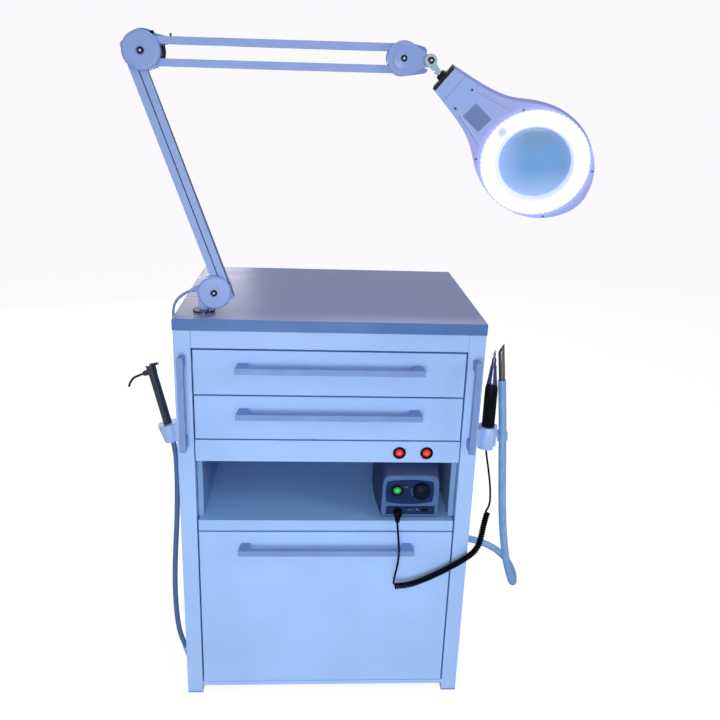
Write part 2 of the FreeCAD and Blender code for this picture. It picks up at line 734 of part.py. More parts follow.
def carried(points, start, end):
    """A route drawn at the real size, its two ends carried to where the sizes put them."""
    first, last = Vector(*start) - Vector(*points[0]), Vector(*end) - Vector(*points[-1])
    steps = len(points) - 1
    return [tuple(Vector(*p) + first * (1 - i / steps) + last * (i / steps)) for i, p in enumerate(points)]


# The lamp's cord comes out of the swivel's back, drops over the worktop's edge and goes into the side.
LAMP_CORD = [
    (-247.9, -158.4, 826.2), (-254.5, -157.6, 823.4), (-263.5, -155, 817.5), (-272.5, -151, 809.5),
    (-280, -146.5, 798.5), (-284, -142.5, 784), (-284.8, -139.5, 768), (-283.4, -137.5, 753),
    (-279.3, -136.5, 740),
]
# The syringe's hose hangs from its cup and goes into the left side near the floor.
SYRINGE_HOSE = [
    (-294.8, -150, 538.9), (-289.3, -150, 513), (-288.2, -151, 471), (-289.3, -152.5, 419), (-292, -155, 362),
    (-296.8, -157.6, 300), (-300, -160.2, 243), (-300.6, -162.5, 188), (-298.4, -164.2, 139),
    (-293, -165.4, 101), (-283.5, -166, 75),
]
# The suction hose hangs from its clip, swings back in one loop and goes into the right side.
SUCTION_HOSE = [
    (325.7, -150, 662.7), (331.6, -150, 610), (337.6, -150.3, 545), (345, -150.8, 457), (352.8, -151, 374),
    (362, -150.2, 313), (372.5, -147, 264), (385.5, -138, 224), (398.5, -119, 194), (409, -93, 179.5),
    (415.5, -62.5, 180), (409.5, -35.5, 192), (390, -17, 207.5), (362, -12.5, 222), (335, -11, 231.5),
    (312, -11, 235.5), (290, -11, 237),
]
# The handpiece's lead: straight from the plug over the deep drawer's handle, curly across the front, and
# straight again up into the handpiece.
LEAD_LOW = [
    (132.8, -222.5, 398.5), (133.6, -228.5, 386), (134.8, -238.5, 372.5), (135.6, -248.5, 358),
    (135, -253.3, 341), (133.4, -253.6, 324), (131.2, -251.2, 308.5), (129.4, -247.4, 291),
    (127.3, -243.6, 272.8), (145.4, -240, 272.2),
]
COIL = [
    (145.4, -240, 272.2), (163.5, -236.4, 271.6), (189.7, -233.5, 281), (213.8, -232, 292.6),
    (237.7, -231, 306.2), (261.2, -230.5, 321.5), (279.5, -228.5, 334), (291.5, -224, 347.5),
    (297, -217, 362.5), (301, -209.5, 380.5), (305.5, -203, 396.5), (309.8, -198, 407.7),
]
LEAD_HIGH = [
    (309.8, -198, 407.7), (314.1, -193, 418.9), (316, -185, 437), (315, -175, 461), (311.5, -165, 487),
    (308.6, -155.8, 507), (307.2, -150.6, 518.5), (307, -150, 525.7),
]
SYRINGE_HOSE = carried(SYRINGE_HOSE, (syringe_x + 2.8, side_y, syringe_z - 12.1),
                       (-frame_x - 9.5, side_y - 16, 75))
SUCTION_HOSE = carried(SUCTION_HOSE, (hp_x + 18.7, side_y, hp_z + 137.7), (frame_x + 16, side_y + 139, 237))
lead_turn = (socket_x + 11.9, unit_front - 34, shelf_top - 125.8)
lead_rise = (hp_x + 2.8, side_y - 48, hp_z - 117.3)
LEAD_LOW = carried(LEAD_LOW, (socket_x - 0.7, unit_front - 16.5, socket_z - 17), lead_turn)
COIL = carried(COIL, lead_turn, lead_rise)
LEAD_HIGH = carried(LEAD_HIGH, lead_rise, (hp_x, side_y, hp_z + 0.7))
node("lamp_cord", tube("lamp_cord_tube", LAMP_CORD, size.lamp_cord_radius))
node("syringe_hose", tube("syringe_hose_tube", SYRINGE_HOSE, size.syringe_hose_radius))
node("suction_hose", tube("suction_hose_tube", SUCTION_HOSE, size.suction_hose_radius))
node("handpiece_lead", tube("lead_low_tube", LEAD_LOW, size.lead_radius),
     tube("lead_high_tube", LEAD_HIGH, size.lead_radius))
node("handpiece_coil", tube("coil_tube", COIL, size.coil_radius))


def last_run(points):
    return tuple(b - a for a, b in zip(points[-2], points[-1]))


glands = [
    gland("gland_lamp_cord", LAMP_CORD[-1], last_run(LAMP_CORD), size.lamp_cord_radius),
    gland("gland_syringe_hose", SYRINGE_HOSE[-1], last_run(SYRINGE_HOSE), size.syringe_hose_radius),
    gland("gland_suction_hose", SUCTION_HOSE[-1], last_run(SUCTION_HOSE), size.suction_hose_radius),
]
cap_rim = rod("cable_cap_rim", "25", "2.5", (CABLE_X, BACK_FACE + " - 2.5", CABLE_Z), BACK)
cap_neck = rod("cable_cap_neck", "20.5", "back_panel_thick", (CABLE_X, BACK_FACE, CABLE_Z), BACK)
cap_hole = rod("cable_cap_hole", "8", "40", (CABLE_X, BACK_FACE + " - 20", CABLE_Z), BACK)
cable_cap = cut("cable_cap", joined("cable_cap_body", cap_rim, cap_neck), cap_hole)
node("side_glands", *glands, cable_cap)


# --- syringe, handpiece and suction ------------------------------------------------------------------

def on_side(side, y, z, deep, tall):
    """A mounting plate on a side panel's outer face, with softened edges."""
    low = frame_x if side > 0 else -frame_x - size.holder_plate_thick
    return Part.makeBox(size.holder_plate_thick, deep, tall, Vector(low, y - deep / 2, z))


# The syringe leans outwards in a moulded cup on the left side. Its hose leaves through the cup's floor.
lean = Rotation(Vector(0, 1, 0), -size.syringe_lean)
syringe_spot = Placement(Vector(syringe_x, side_y, syringe_z), lean)
half_cup = size.syringe_cup_tall / 2
cup = Part.makeCone(size.syringe_cup_radius * 0.86, size.syringe_cup_radius * 1.12, size.syringe_cup_tall,
                    Vector(0, 0, -half_cup))
arm = Part.makeBox(24, size.syringe_cup_radius * 1.5, size.syringe_cup_tall - 4,
                   Vector(2, -size.syringe_cup_radius * 0.75, -half_cup + 2))
holder = cup.fuse(arm)
holder.Placement = syringe_spot
plate = on_side(-1, side_y, syringe_z - half_cup - 3, 46, 58)
holder = holder.fuse(plate)
holder = holder.common(Part.makeBox(100, 200, 200, Vector(-frame_x - 100, side_y - 100,
                                                           syringe_z - 100)))
bore = Part.makeCylinder(size.syringe_radius + size.seat_gap, size.syringe_cup_tall,
                         Vector(0, 0, -half_cup + 5))
throat = Part.makeCylinder(size.syringe_hose_radius + 1, size.syringe_cup_tall * 2,
                           Vector(0, 0, -size.syringe_cup_tall))
for hole in (bore, throat):
    hole.Placement = syringe_spot.multiply(Placement(Vector(), Rotation()))
    holder = holder.cut(hole)
node("syringe_holder", solid("syringe_holder_body", holder))

grip_low = -half_cup + 5 + size.seat_gap
grip = Part.makeCylinder(size.syringe_radius, size.syringe_long, Vector(0, 0, grip_low))
grip_top = grip_low + size.syringe_long
head = Part.makeCylinder(size.syringe_radius + 1, 17, Vector(0, 0, grip_top))
snout = Part.makeCone(6.5, 4.5, 13, Vector(-4, 0, grip_top + 3), Vector(-1, 0, -0.12))
port = Part.makeCylinder(2.3, 30, Vector(-6, 0, grip_top + 3), Vector(-1, 0, -0.12))
slot = Part.makeBox(16, 5, 9, Vector(-2, -2.5, grip_top + 10))
syringe = grip.fuse(head).fuse(snout).cut(slot).cut(port)
node("syringe_body", solid("syringe_body_whole", syringe, syringe_spot))

tip_route = [(-6, 0, grip_top + 3), (-20, 0, grip_top + 1.3), (-36, 0, grip_top - 2),
             (-44, 0, grip_top - 8.5),
             (-49.5, 0, grip_top - 17)]
tip_wire = route_wire(tip_route)[0]
tip_heading = Vector(*tip_route[1]) - Vector(*tip_route[0])
tip_ring = Part.Wire(Part.makeCircle(2.2, Vector(*tip_route[0]), tip_heading))
tip = tip_wire.makePipeShell([tip_ring], True, True)
node("syringe_nozzle", solid("syringe_nozzle_tube", tip, syringe_spot))

# The thumb lever rocks in the head's slot on its own pin.
lever = Part.makeBox(15, 4.4, 4.5, Vector(-1.5, -2.2, grip_top + 14)).fuse(
    Part.makeBox(4, 4.4, 5, Vector(2, -2.2, grip_top + 11.5)))
lever = lever.fuse(Part.makeBox(4, 9, 3, Vector(11, -4.5, grip_top + 14)))
node("syringe_lever", solid("syringe_lever_whole", lever, syringe_spot))

# The handpiece stands in a plain cup on the right side. Behind it an arm reaches out to a half-round
# cradle that holds the suction hose.
cup = Part.makeCylinder(size.handpiece_cup_radius, size.handpiece_cup_tall, Vector(hp_x, side_y, hp_z))
arm = Part.makeBox(hp_x - frame_x, 22, size.handpiece_cup_tall - 8, Vector(frame_x, side_y - 11, hp_z + 4))
plate = on_side(1, side_y + 8, hp_z - 4, 62, size.handpiece_cup_tall + 12)
cup = cup.fuse(arm).fuse(plate)
cup = cup.cut(Part.makeCylinder(size.grip_radius + size.seat_gap, size.handpiece_cup_tall,
                                Vector(hp_x, side_y, hp_z + size.handpiece_floor)))
cup = cup.cut(Part.makeCylinder(size.lead_radius * 2.5, size.handpiece_cup_tall * 2,
                                Vector(hp_x, side_y, hp_z - size.handpiece_cup_tall / 2)))
clip_z = hp_z + size.handpiece_floor * 2
clip_route = Vector(*SUCTION_HOSE[1]), Vector(*SUCTION_HOSE[2])
share = (clip_route[0].z - (clip_z + size.cradle_long / 2)) / (clip_route[0].z - clip_route[1].z)
clip_axis = clip_route[1] - clip_route[0]
clip_at = clip_route[0] + clip_axis * share
clip_axis.normalize()
cradle_out = size.suction_hose_radius + size.cradle_wall
cradle_low = clip_at - clip_axis * (size.cradle_long / 2)
cradle = Part.makeCylinder(cradle_out, size.cradle_long, cradle_low, clip_axis)
cradle_bore = Part.makeCylinder(size.suction_hose_radius + size.seat_gap, size.cradle_long * 2,
                                clip_at - clip_axis * size.cradle_long, clip_axis)
front_half = Part.makeBox(cradle_out * 4, cradle_out * 3, size.cradle_long * 3,
                          Vector(clip_at.x - cradle_out * 2, clip_at.y - cradle_out * 3,
                                 clip_at.z - size.cradle_long * 1.5))
reach_y = side_y + size.grip_radius + size.cradle_wall
reach_z = clip_z + (size.cradle_long - size.cradle_arm_tall) / 2
reach = Part.makeBox(clip_at.x - frame_x, size.cradle_arm_thick, size.cradle_arm_tall,
                     Vector(frame_x, reach_y, reach_z))
web_y = clip_at.y + size.suction_hose_radius + 1
web = Part.makeBox(size.cradle_arm_thick, reach_y + size.cradle_arm_thick - web_y, size.cradle_arm_tall,
                   Vector(clip_at.x - size.cradle_arm_thick / 2, web_y, reach_z))
holder = cup.fuse(reach).fuse(web).fuse(cradle).cut(cradle_bore).cut(front_half)
node("handpiece_holder", solid("handpiece_holder_body", holder))

# The handpiece: a motor with a black grip, a steel nose, a chuck ring and the bur in it.
seat_z = hp_z + size.handpiece_floor + size.seat_gap
motor_top = hp_z + size.grip_lift
nose_top = motor_top + size.nose_long
grip = Part.makeCylinder(size.grip_radius, motor_top - seat_z - 6, Vector(hp_x, side_y, seat_z)).fuse(
    Part.makeCone(size.grip_radius, size.grip_radius - 2.5, 6, Vector(hp_x, side_y, motor_top - 6)))
tail = Part.makeCone(3, 4.5, seat_z - hp_z - 1, Vector(hp_x, side_y, hp_z + 1))
motor = solid("handpiece_motor", grip.fuse(tail))
nose = Part.makeCone(9, 5.2, size.nose_long - 6, Vector(hp_x, side_y, motor_top))
nose = nose.fuse(Part.makeCylinder(5.2, 6, Vector(hp_x, side_y, nose_top - 6)))
nose = nose.fuse(Part.makeCone(4.6, 2.6, 14, Vector(hp_x, side_y, nose_top)))
nose = nose.fuse(Part.makeCylinder(1.2, size.bur_long, Vector(hp_x, side_y, nose_top)))
node("handpiece", motor, solid("handpiece_nose", nose))

# The cannula: a thin steel tube with a slanted tip, pushed into the suction hose.
hose_top = Vector(*SUCTION_HOSE[0])
up = (Vector(*SUCTION_HOSE[0]) - Vector(*SUCTION_HOSE[1])).normalize()
cannula = Part.makeCylinder(size.cannula_radius, size.cannula_tip_lift, hose_top, up).cut(
    Part.makeCylinder(size.cannula_radius - size.cannula_wall, size.cannula_tip_lift, hose_top + up * 5, up))
bevel = Part.makeBox(80, 80, 80, Vector(-40, -40, 0))
bevel.Placement = Placement(hose_top + up * (size.cannula_tip_lift - 16), Rotation(Vector(0, 1, 0), -62))
cannula = cannula.cut(bevel)
node("suction_cannula", solid("suction_cannula_tube", cannula))


# --- handpiece control unit --------------------------------------------------------------------------

# The case is a hooded moulding on a base plate with four rubber feet, its front a little wider than tall.
unit_mid = unit_left + size.unit_wide / 2
foot_z = shelf_top
base_z = foot_z + size.unit_foot_tall
case_z = base_z + size.unit_base_tall


def hood(shrink, widen):
    """The case's outer or inner form: a lofted hood, wider and higher towards its middle."""
    sections = []
    depths = ((0, 1.0, shelf_top + size.unit_brow_tall), (0.16, 1.05, unit_top - 4), (0.42, 1.14, unit_top),
              (0.8, 1.14, unit_top - 3), (1.0, 1.06, unit_top - 22))
    for share, wide, top in depths:
        y = unit_front + shrink + share * (size.unit_deep - 2 * shrink)
        half = size.unit_wide / 2 * wide - shrink
        low, high = case_z - widen, top - shrink
        bevel = 12
        sections.append(Part.makePolygon([
            Vector(unit_mid - half, y, low), Vector(unit_mid + half, y, low),
            Vector(unit_mid + half - 1.5, y, high - bevel), Vector(unit_mid + half - bevel, y, high),
            Vector(unit_mid - half + bevel, y, high), Vector(unit_mid - half + 1.5, y, high - bevel),
            Vector(unit_mid - half, y, low),
        ]))
    return Part.makeLoft(sections, True, True)


case = hood(0, 0).cut(hood(size.unit_wall, size.unit_wall))
power_well = disc(power_x, dial_z, size.switch_body_radius + size.seat_gap,
                  unit_front - 5, unit_front + 6)
shaft_hole = disc(dial_x, dial_z, size.dial_shaft_radius + size.shaft_gap,
                  unit_front - 5, unit_front + 20)
slot = Part.makeBox(size.slider_wide + size.slider_travel + 1, 20, size.slider_tall + 0.6,
                    Vector(slider_x - (size.slider_wide + size.slider_travel) / 2 - 0.5, unit_front - 5,
                           slider_z - size.slider_tall / 2 - 0.3))
socket_hole = disc(socket_x, socket_z, size.socket_radius, unit_front - 5, unit_front + 12)
case = solid("unit_case_shell", case.cut(power_well).cut(shaft_hole).cut(slot).cut(socket_hole))

base_half = size.unit_wide / 2 - 0.5
base = Part.makeBox(base_half * 2, size.unit_deep - 2, size.unit_base_tall,
                    Vector(unit_mid - base_half, unit_front + 1, base_z))
feet = [
    solid(f"unit_foot_{i}", Part.makeCylinder(6, size.unit_foot_tall, Vector(
        unit_mid + dx * (base_half - 12), unit_front + size.unit_deep * (0.5 + dy * 0.42), foot_z)))
    for i, (dx, dy) in enumerate(((-1, -1), (1, -1), (-1, 1), (1, 1)))
]
node("unit_case", case, solid("unit_base_plate", base), *feet)

# Two blue facing plates: a barrel-shaped one round the switch and the dial, a strip round the socket.
plate_y = unit_front - size.unit_fascia_thick
left, right = unit_left + 10, unit_left + size.unit_wide - 14
low, high = dial_z - 29, dial_z + 22
bow = 4.5
barrel_edge = Part.Wire([
    Part.Arc(Vector(left, plate_y, high - bow), Vector((left + right) / 2, plate_y, high),
             Vector(right, plate_y, high - bow)).toShape(),
    Part.Arc(Vector(right, plate_y, high - bow), Vector(right + bow / 2, plate_y, (low + high) / 2),
             Vector(right, plate_y, low + bow)).toShape(),
    Part.Arc(Vector(right, plate_y, low + bow), Vector((left + right) / 2, plate_y, low),
             Vector(left, plate_y, low + bow)).toShape(),
    Part.Arc(Vector(left, plate_y, low + bow), Vector(left - bow / 2, plate_y, (low + high) / 2),
             Vector(left, plate_y, high - bow)).toShape(),
])
upper_plate = Part.Face(barrel_edge).extrude(Vector(0, size.unit_fascia_thick, 0))
lower_plate = Part.makeBox(right - left + 6, size.unit_fascia_thick, 17,
                           Vector(left, plate_y, socket_z - 7.2))
upper_plate = upper_plate.cut(power_well).cut(shaft_hole)
socket_hole = disc(socket_x, socket_z, size.socket_radius + 0.2, plate_y - 5, plate_y + 5)
lower_plate = lower_plate.cut(slot).cut(socket_hole)
jack = disc(socket_x, socket_z, size.socket_radius, unit_front - 3, unit_front + 10).cut(
    disc(socket_x, socket_z, size.plug_radius + 0.05, unit_front - 5, unit_front + 6))
bezel_y = plate_y - size.switch_bezel_thick
housing = disc(power_x, dial_z, size.switch_bezel_radius, bezel_y, plate_y).fuse(
    disc(power_x, dial_z, size.switch_body_radius, plate_y, plate_y + size.switch_body_deep))
housing = housing.cut(disc(power_x, dial_z, size.switch_well_radius, bezel_y - 5,
                           bezel_y + size.switch_well_deep))
node("unit_fascia", solid("fascia_upper", upper_plate), solid("fascia_lower", lower_plate),
     solid("output_socket", jack), solid("unit_switch_body", housing))
rocker("unit_power_rocker", power_x, plate_y + 2, dial_z, size.rocker_radius, size.rocker_tilt)

# The speed dial: a domed knob on a shaft that turns in the case.
dial_front = plate_y - 0.5 - size.dial_deep
dome_radius = (size.dial_radius**2 + 6**2) / 12
dial = disc(dial_x, dial_z, size.dial_radius, dial_front, plate_y - 0.5)
ball = Part.makeSphere(dome_radius, Vector(dial_x, dial_front + dome_radius, dial_z))
dial = dial.common(ball)
dial = dial.fuse(disc(dial_x, dial_z, size.dial_shaft_radius, plate_y - 1, unit_front + 12))
node("unit_speed_dial", solid("unit_speed_dial_whole", dial))

slider = Part.makeBox(size.slider_wide, 5, size.slider_tall,
                      Vector(slider_x - (size.slider_wide + size.slider_travel) / 2, plate_y - 2,
                             slider_z - size.slider_tall / 2))
node("unit_slide_switch", solid("unit_slider", slider))

# The lead's plug: a round body in the socket and a tapered boot that turns the cord downwards.
plug = disc(socket_x, socket_z, size.plug_radius, unit_front - size.plug_deep, unit_front + 5)
exit_point = Vector(*LEAD_LOW[0])
exit_way = (Vector(*LEAD_LOW[1]) - exit_point).normalize()
boot_top = Vector(socket_x, unit_front - size.plug_deep + 3, socket_z + 1)
boot_long = (boot_top - exit_point).Length
boot = Part.makeCone(3.6, size.plug_head_radius - 0.8, boot_long, exit_point, boot_top - exit_point)
ball = Part.makeSphere(size.plug_head_radius, Vector(socket_x, unit_front - size.plug_deep, socket_z))
trim = Part.makeBox(40, 40, 40)
trim.Placement = Placement(exit_point, Rotation(Vector(0, 0, -1), exit_way)).multiply(
    Placement(Vector(-20, -20, -40), Rotation()))
node("handpiece_plug", solid("handpiece_plug_whole", plug.fuse(ball).fuse(boot).cut(trim)))


# --- magnifier lamp: flange, base and elbow ----------------------------------------------------------

flange = Part.makeCylinder(size.flange_radius, size.flange_thick, Vector(lx, ly, table)).fuse(
    Part.makeCylinder(size.bush_radius, size.bush_long, Vector(lx, ly, table - size.bush_long)))
flange = flange.cut(Part.makeCylinder(size.pin_radius + size.running_gap, 100, Vector(lx, ly, table - 60)))
node("lamp_flange", solid("lamp_flange_body", flange))

half_bar = size.bar_depth / 2
plate_in = half_bar + size.plate_gap
plate_out = plate_in + size.plate_thick
cover_out = plate_out + size.cover_deep


def in_arm_plane(x, z):
    """A point of the arm's plane, from the swivel's axis and the worktop."""
    return lx + x, table + z


base_c = in_arm_plane(size.base_reach, size.base_lift)
elbow_c = in_arm_plane(size.elbow_reach, size.elbow_lift)
wrist_c = in_arm_plane(size.wrist_reach, size.wrist_lift)

# The lower arm's two bars run side by side. Their pivots sit on a slanted line, so that the bars close up
# against each other when the arm leans back.
away = (elbow_c[0] - base_c[0], elbow_c[1] - base_c[1])
straight = math.hypot(*away)
skew = math.asin(2 * size.lower_pair_shift / straight)
arm_angle = math.atan2(away[1], away[0]) + skew
across_x, across_z = math.sin(arm_angle), -math.cos(arm_angle)
pair_base = (base_c[0] + across_x * size.lower_pair_shift, base_c[1] + across_z * size.lower_pair_shift)
pair_elbow = (elbow_c[0] - across_x * size.lower_pair_shift, elbow_c[1] - across_z * size.lower_pair_shift)
half_pair = (size.pivot_across / 2, -size.pivot_down / 2)
front_low = (pair_base[0] + half_pair[0], pair_base[1] + half_pair[1])
rear_low = (pair_base[0] - half_pair[0], pair_base[1] - half_pair[1])
front_high = (pair_elbow[0] + half_pair[0], pair_elbow[1] + half_pair[1])
rear_high = (pair_elbow[0] - half_pair[0], pair_elbow[1] - half_pair[1])

upper_near = [(elbow_c[0] + size.upper_pivot_in, elbow_c[1] + sign * size.upper_pivot_half)
              for sign in (1, -1)]
upper_far = [(wrist_c[0] - size.wrist_pivot_back, wrist_c[1] + sign * size.upper_pivot_half)
             for sign in (1, -1)]


def arm_bar(name, near, far, wide, spring_from):
    """A hollow bar between two pivots, with its balance spring inside."""
    half = wide / 2
    heading = Vector(far[0] - near[0], 0, far[1] - near[1])
    long = heading.Length
    heading.normalize()
    bar = link((*near, half), (*far, half), ly - half_bar, ly + half_bar)
    for x, z in (near, far):
        bar = bar.cut(disc(x, z, size.pivot_radius + size.running_gap, ly - 20, ly + 20))
    turn = Rotation(Vector(1, 0, 0), heading)
    inset = half + 6
    room = Part.makeBox(long - 2 * inset, size.bar_depth - 3, wide - 3,
                        Vector(inset, -half_bar + 1.5, -half + 1.5))
    spring = Part.makeCylinder(size.spring_radius, long * 0.4, Vector(inset + spring_from * long, 0, 0),
                               Vector(1, 0, 0))
    spring = spring.cut(Part.makeCylinder(size.spring_radius - 1.2, long,
                                          Vector(inset + spring_from * long + 2, 0, 0),
                                          Vector(1, 0, 0)))
    spot = Placement(Vector(near[0], ly, near[1]), turn)
    room.Placement = spot.multiply(room.Placement)
    spring.Placement = spot.multiply(spring.Placement)
    bar = bar.cut(room)
    return node(name, solid(name + "_tube", bar), solid(name + "_spring", spring))


arm_bar("lower_arm_front_bar", front_low, front_high, size.bar_wide, 0.0)
arm_bar("lower_arm_rear_bar", rear_low, rear_high, size.bar_wide, 0.0)
arm_bar("upper_arm_top_bar", upper_near[0], upper_far[0], size.upper_bar_tall, 0.0)
arm_bar("upper_arm_bottom_bar", upper_near[1], upper_far[1], size.upper_bar_tall, 0.0)


def pivot_pins(name, spots):
    """Pins that pass through the bars, from the outer face of one plate to the other's."""
    return [solid(f"{name}_pin_{i}", disc(x, z, size.pivot_radius, ly - plate_in, ly + plate_in))
            for i, (x, z) in enumerate(spots)]


def dish(centre, radius, side):
    """A pressed cover: a shallow dome whose face dips round the screw in its middle."""
    x, z = centre
    low, high = sorted((ly + side * plate_out, ly + side * cover_out))
    whole = disc(x, z, radius, low, high)
    rim = [edge for edge in whole.Edges
           if edge.Curve.TypeId == "Part::GeomCircle"
           and abs(edge.Curve.Center.y - (ly + side * cover_out)) < 0.01]
    whole = whole.makeFillet(min(5.0, size.cover_deep - 1), rim)
    well_low, well_high = sorted((ly + side * (cover_out - 2), ly + side * (cover_out + 1)))
    return whole.cut(disc(x, z, 7, well_low, well_high))


def cover_screw(name, centre, side):
    x, z = centre
    low, high = sorted((ly + side * (cover_out - 2), ly + side * (cover_out + 1.2)))
    return solid(name, disc(x, z, size.bolt_radius, low, high))


def plate_pair(name, circles):
    """Two steel side plates round a list of circles, one on each side of the bars."""
    made = []
    for side in (-1, 1):
        low, high = sorted((ly + side * plate_in, ly + side * plate_out))
        whole = link(circles[0], circles[1], low, high)
        for circle in circles[2:]:
            whole = whole.fuse(link(circles[0], circle, low, high))
        made.append(solid(f"{name}_plate_{'front' if side < 0 else 'rear'}", whole))
    return made


# The base turns in the flange on a stout pin and holds the lower arm's pivots between two plates.
stem_top = base_c[1] + 8
stem = Part.makeCylinder(size.pin_radius, table + 8 - (table - size.bush_long - 4),
                         Vector(lx, ly, table - size.bush_long - 4))
stem = stem.fuse(Part.makeCylinder(8, 5, Vector(lx, ly, table + size.flange_thick + 0.2)))
foot = Part.makeBox(15, plate_in * 2, stem_top - table - 5, Vector(lx - 9, ly - plate_in, table + 5))
spine = stem.fuse(foot)
base_circles = [(*base_c, size.base_radius - 1), (lx + 0.5, table + 16, 8)]
base_covers = [solid(f"base_cover_{i}", dish(base_c, size.base_radius, side))
               for i, side in enumerate((-1, 1))]
cord_way = (Vector(*LAMP_CORD[1]) - Vector(*LAMP_CORD[0])).normalize()
cord_stub = Part.makeCone(5, 3.4, 17, Vector(*LAMP_CORD[0]) - cord_way * 17, cord_way)
node("lamp_base", solid("lamp_base_spine", spine.fuse(cord_stub)), *plate_pair("lamp_base", base_circles),
     *base_covers, *pivot_pins("lamp_base", (front_low, rear_low)),
     *[cover_screw(f"base_screw_{i}", base_c, side) for i, side in enumerate((-1, 1))])

# The elbow ties both arms together. Its rear cover is larger and runs out along the upper arm.
elbow_circles = [(*elbow_c, size.elbow_radius - 1), (elbow_c[0] - 2, elbow_c[1], size.elbow_radius - 1.5)]
collar_root = (elbow_c[0] + 8, elbow_c[1] + 16, 14)
collar = (elbow_c[0] + 40, elbow_c[1] + 17, 6)
rear_cover = disc(elbow_c[0], elbow_c[1] + 1.5, size.back_cover_radius, ly + plate_out, ly + cover_out).fuse(
    link(collar_root, collar, ly + plate_out, ly + cover_out))
elbow_spacer = solid("elbow_spacer", disc(*elbow_c, 4, ly - plate_in, ly + plate_in))
node("lamp_elbow", elbow_spacer, *plate_pair("lamp_elbow", elbow_circles),
     solid("elbow_cover_front", dish(elbow_c, size.elbow_radius, -1)),
     solid("elbow_cover_rear", rear_cover.cut(disc(*elbow_c, 7, ly + cover_out - 2, ly + cover_out + 1))),
     *pivot_pins("lamp_elbow", (front_high, rear_high, *upper_near)),
     *[cover_screw(f"elbow_screw_{i}", elbow_c, side) for i, side in enumerate((-1, 1))])


# --- magnifier lamp: wrist, fork and head ------------------------------------------------------------

knuckle = (wrist_c[0] + size.knuckle_reach, wrist_c[1] - size.knuckle_drop)
tongue = link((wrist_c[0] + 14, wrist_c[1], 12), (*knuckle, 9), ly - size.tongue_half, ly + size.tongue_half)
tongue = tongue.fuse(link((wrist_c[0] + 13, wrist_c[1], 9), (wrist_c[0] + 18, wrist_c[1], 8),
                          ly - plate_in, ly + plate_in))
tongue = tongue.cut(disc(*knuckle, size.pivot_radius + size.running_gap, ly - 20, ly + 20))
cheek_out = size.tongue_half + 0.3 + size.cheek_thick
notch = disc(*knuckle, size.cheek_radius + 2.5, ly - 40, ly + 40)
wide_notch = link((*knuckle, size.cheek_radius + 2.5), (knuckle[0] + 40, knuckle[1], size.cheek_radius + 30),
                  ly - cheek_out - 0.6, ly + cheek_out + 0.6)
wrist_disc = (*wrist_c, size.wrist_radius)
front_cover = link(wrist_disc, (knuckle[0] - 14, knuckle[1], 12), ly - cover_out, ly - plate_out)
rear_cover = link(wrist_disc, (knuckle[0] - 13, knuckle[1] + 14, 8), ly + plate_out, ly + cover_out).fuse(
    link(wrist_disc, (knuckle[0] - 9, knuckle[1] - 13, 7), ly + plate_out, ly + cover_out))
wrist_circles = [(*wrist_c, size.wrist_radius - 1), (wrist_c[0] + 10, wrist_c[1], size.wrist_radius - 9)]
node("lamp_wrist", solid("wrist_tongue", tongue), *plate_pair("lamp_wrist", wrist_circles),
     solid("wrist_cover_front", front_cover.cut(notch).cut(wide_notch).cut(
         disc(*wrist_c, 7, ly - cover_out - 1, ly - cover_out + 2))),
     solid("wrist_cover_rear", rear_cover.cut(notch).cut(wide_notch).cut(
         disc(*wrist_c, 7, ly + cover_out - 2, ly + cover_out + 1))),
     *pivot_pins("lamp_wrist", upper_far),
     *[cover_screw(f"wrist_screw_{i}", wrist_c, side) for i, side in enumerate((-1, 1))])

# The head's own axes: down the neck, across it, and out of the lit face.
droop, roll = math.radians(size.head_droop), math.radians(size.head_roll)
down_neck = Vector(math.cos(droop), 0, -math.sin(droop))
across_neck = Vector(math.sin(droop), 0, math.cos(droop))
lit_way = Vector(0, -math.cos(roll), 0) - across_neck * math.sin(roll)
side_way = lit_way.cross(down_neck)
neck_end = Vector(knuckle[0] + size.neck_reach, ly, knuckle[1] - size.neck_drop)
turned = FreeCAD.Matrix(
    down_neck.x, side_way.x, lit_way.x, neck_end.x,
    down_neck.y, side_way.y, lit_way.y, neck_end.y,
    down_neck.z, side_way.z, lit_way.z, neck_end.z,
    0, 0, 0, 1)
head_spot = Placement(turned)

# The fork: two chrome cheeks on the tongue's pin, legs that meet in a hub, and a stem into the neck.
hub = (knuckle[0] + size.stem_reach, knuckle[1] - size.stem_drop)
fork = None
for side in (-1, 1):
    low, high = sorted((ly + side * (size.tongue_half + 0.3), ly + side * cheek_out))
    leg = disc(*knuckle, size.cheek_radius, low, high).fuse(link((*knuckle, 5), (*hub, 4.5), low, high))
    fork = leg if fork is None else fork.fuse(leg)
fork = fork.fuse(link(hub + (4.5,), (hub[0] + 1, hub[1] - 0.8, 4.5), ly - cheek_out, ly + cheek_out))
stem_start = Vector(hub[0], ly, hub[1])
stem_long = (neck_end - stem_start).Length + 7
fork = fork.fuse(Part.makeCylinder(size.stem_radius, stem_long, stem_start, down_neck))
tongue_clear = disc(*knuckle, size.cheek_radius, ly - size.tongue_half - 0.3, ly + size.tongue_half + 0.3)
fork = fork.cut(tongue_clear)
pin = disc(*knuckle, size.pivot_radius, ly - cheek_out - 1, ly + cheek_out + 1)
knob = disc(*knuckle, 5, ly - cheek_out - 4, ly - cheek_out)
nut = disc(*knuckle, 5, ly + cheek_out, ly + cheek_out + 3)
node("lamp_fork", solid("lamp_fork_body", fork.fuse(pin).fuse(knob).fuse(nut)))


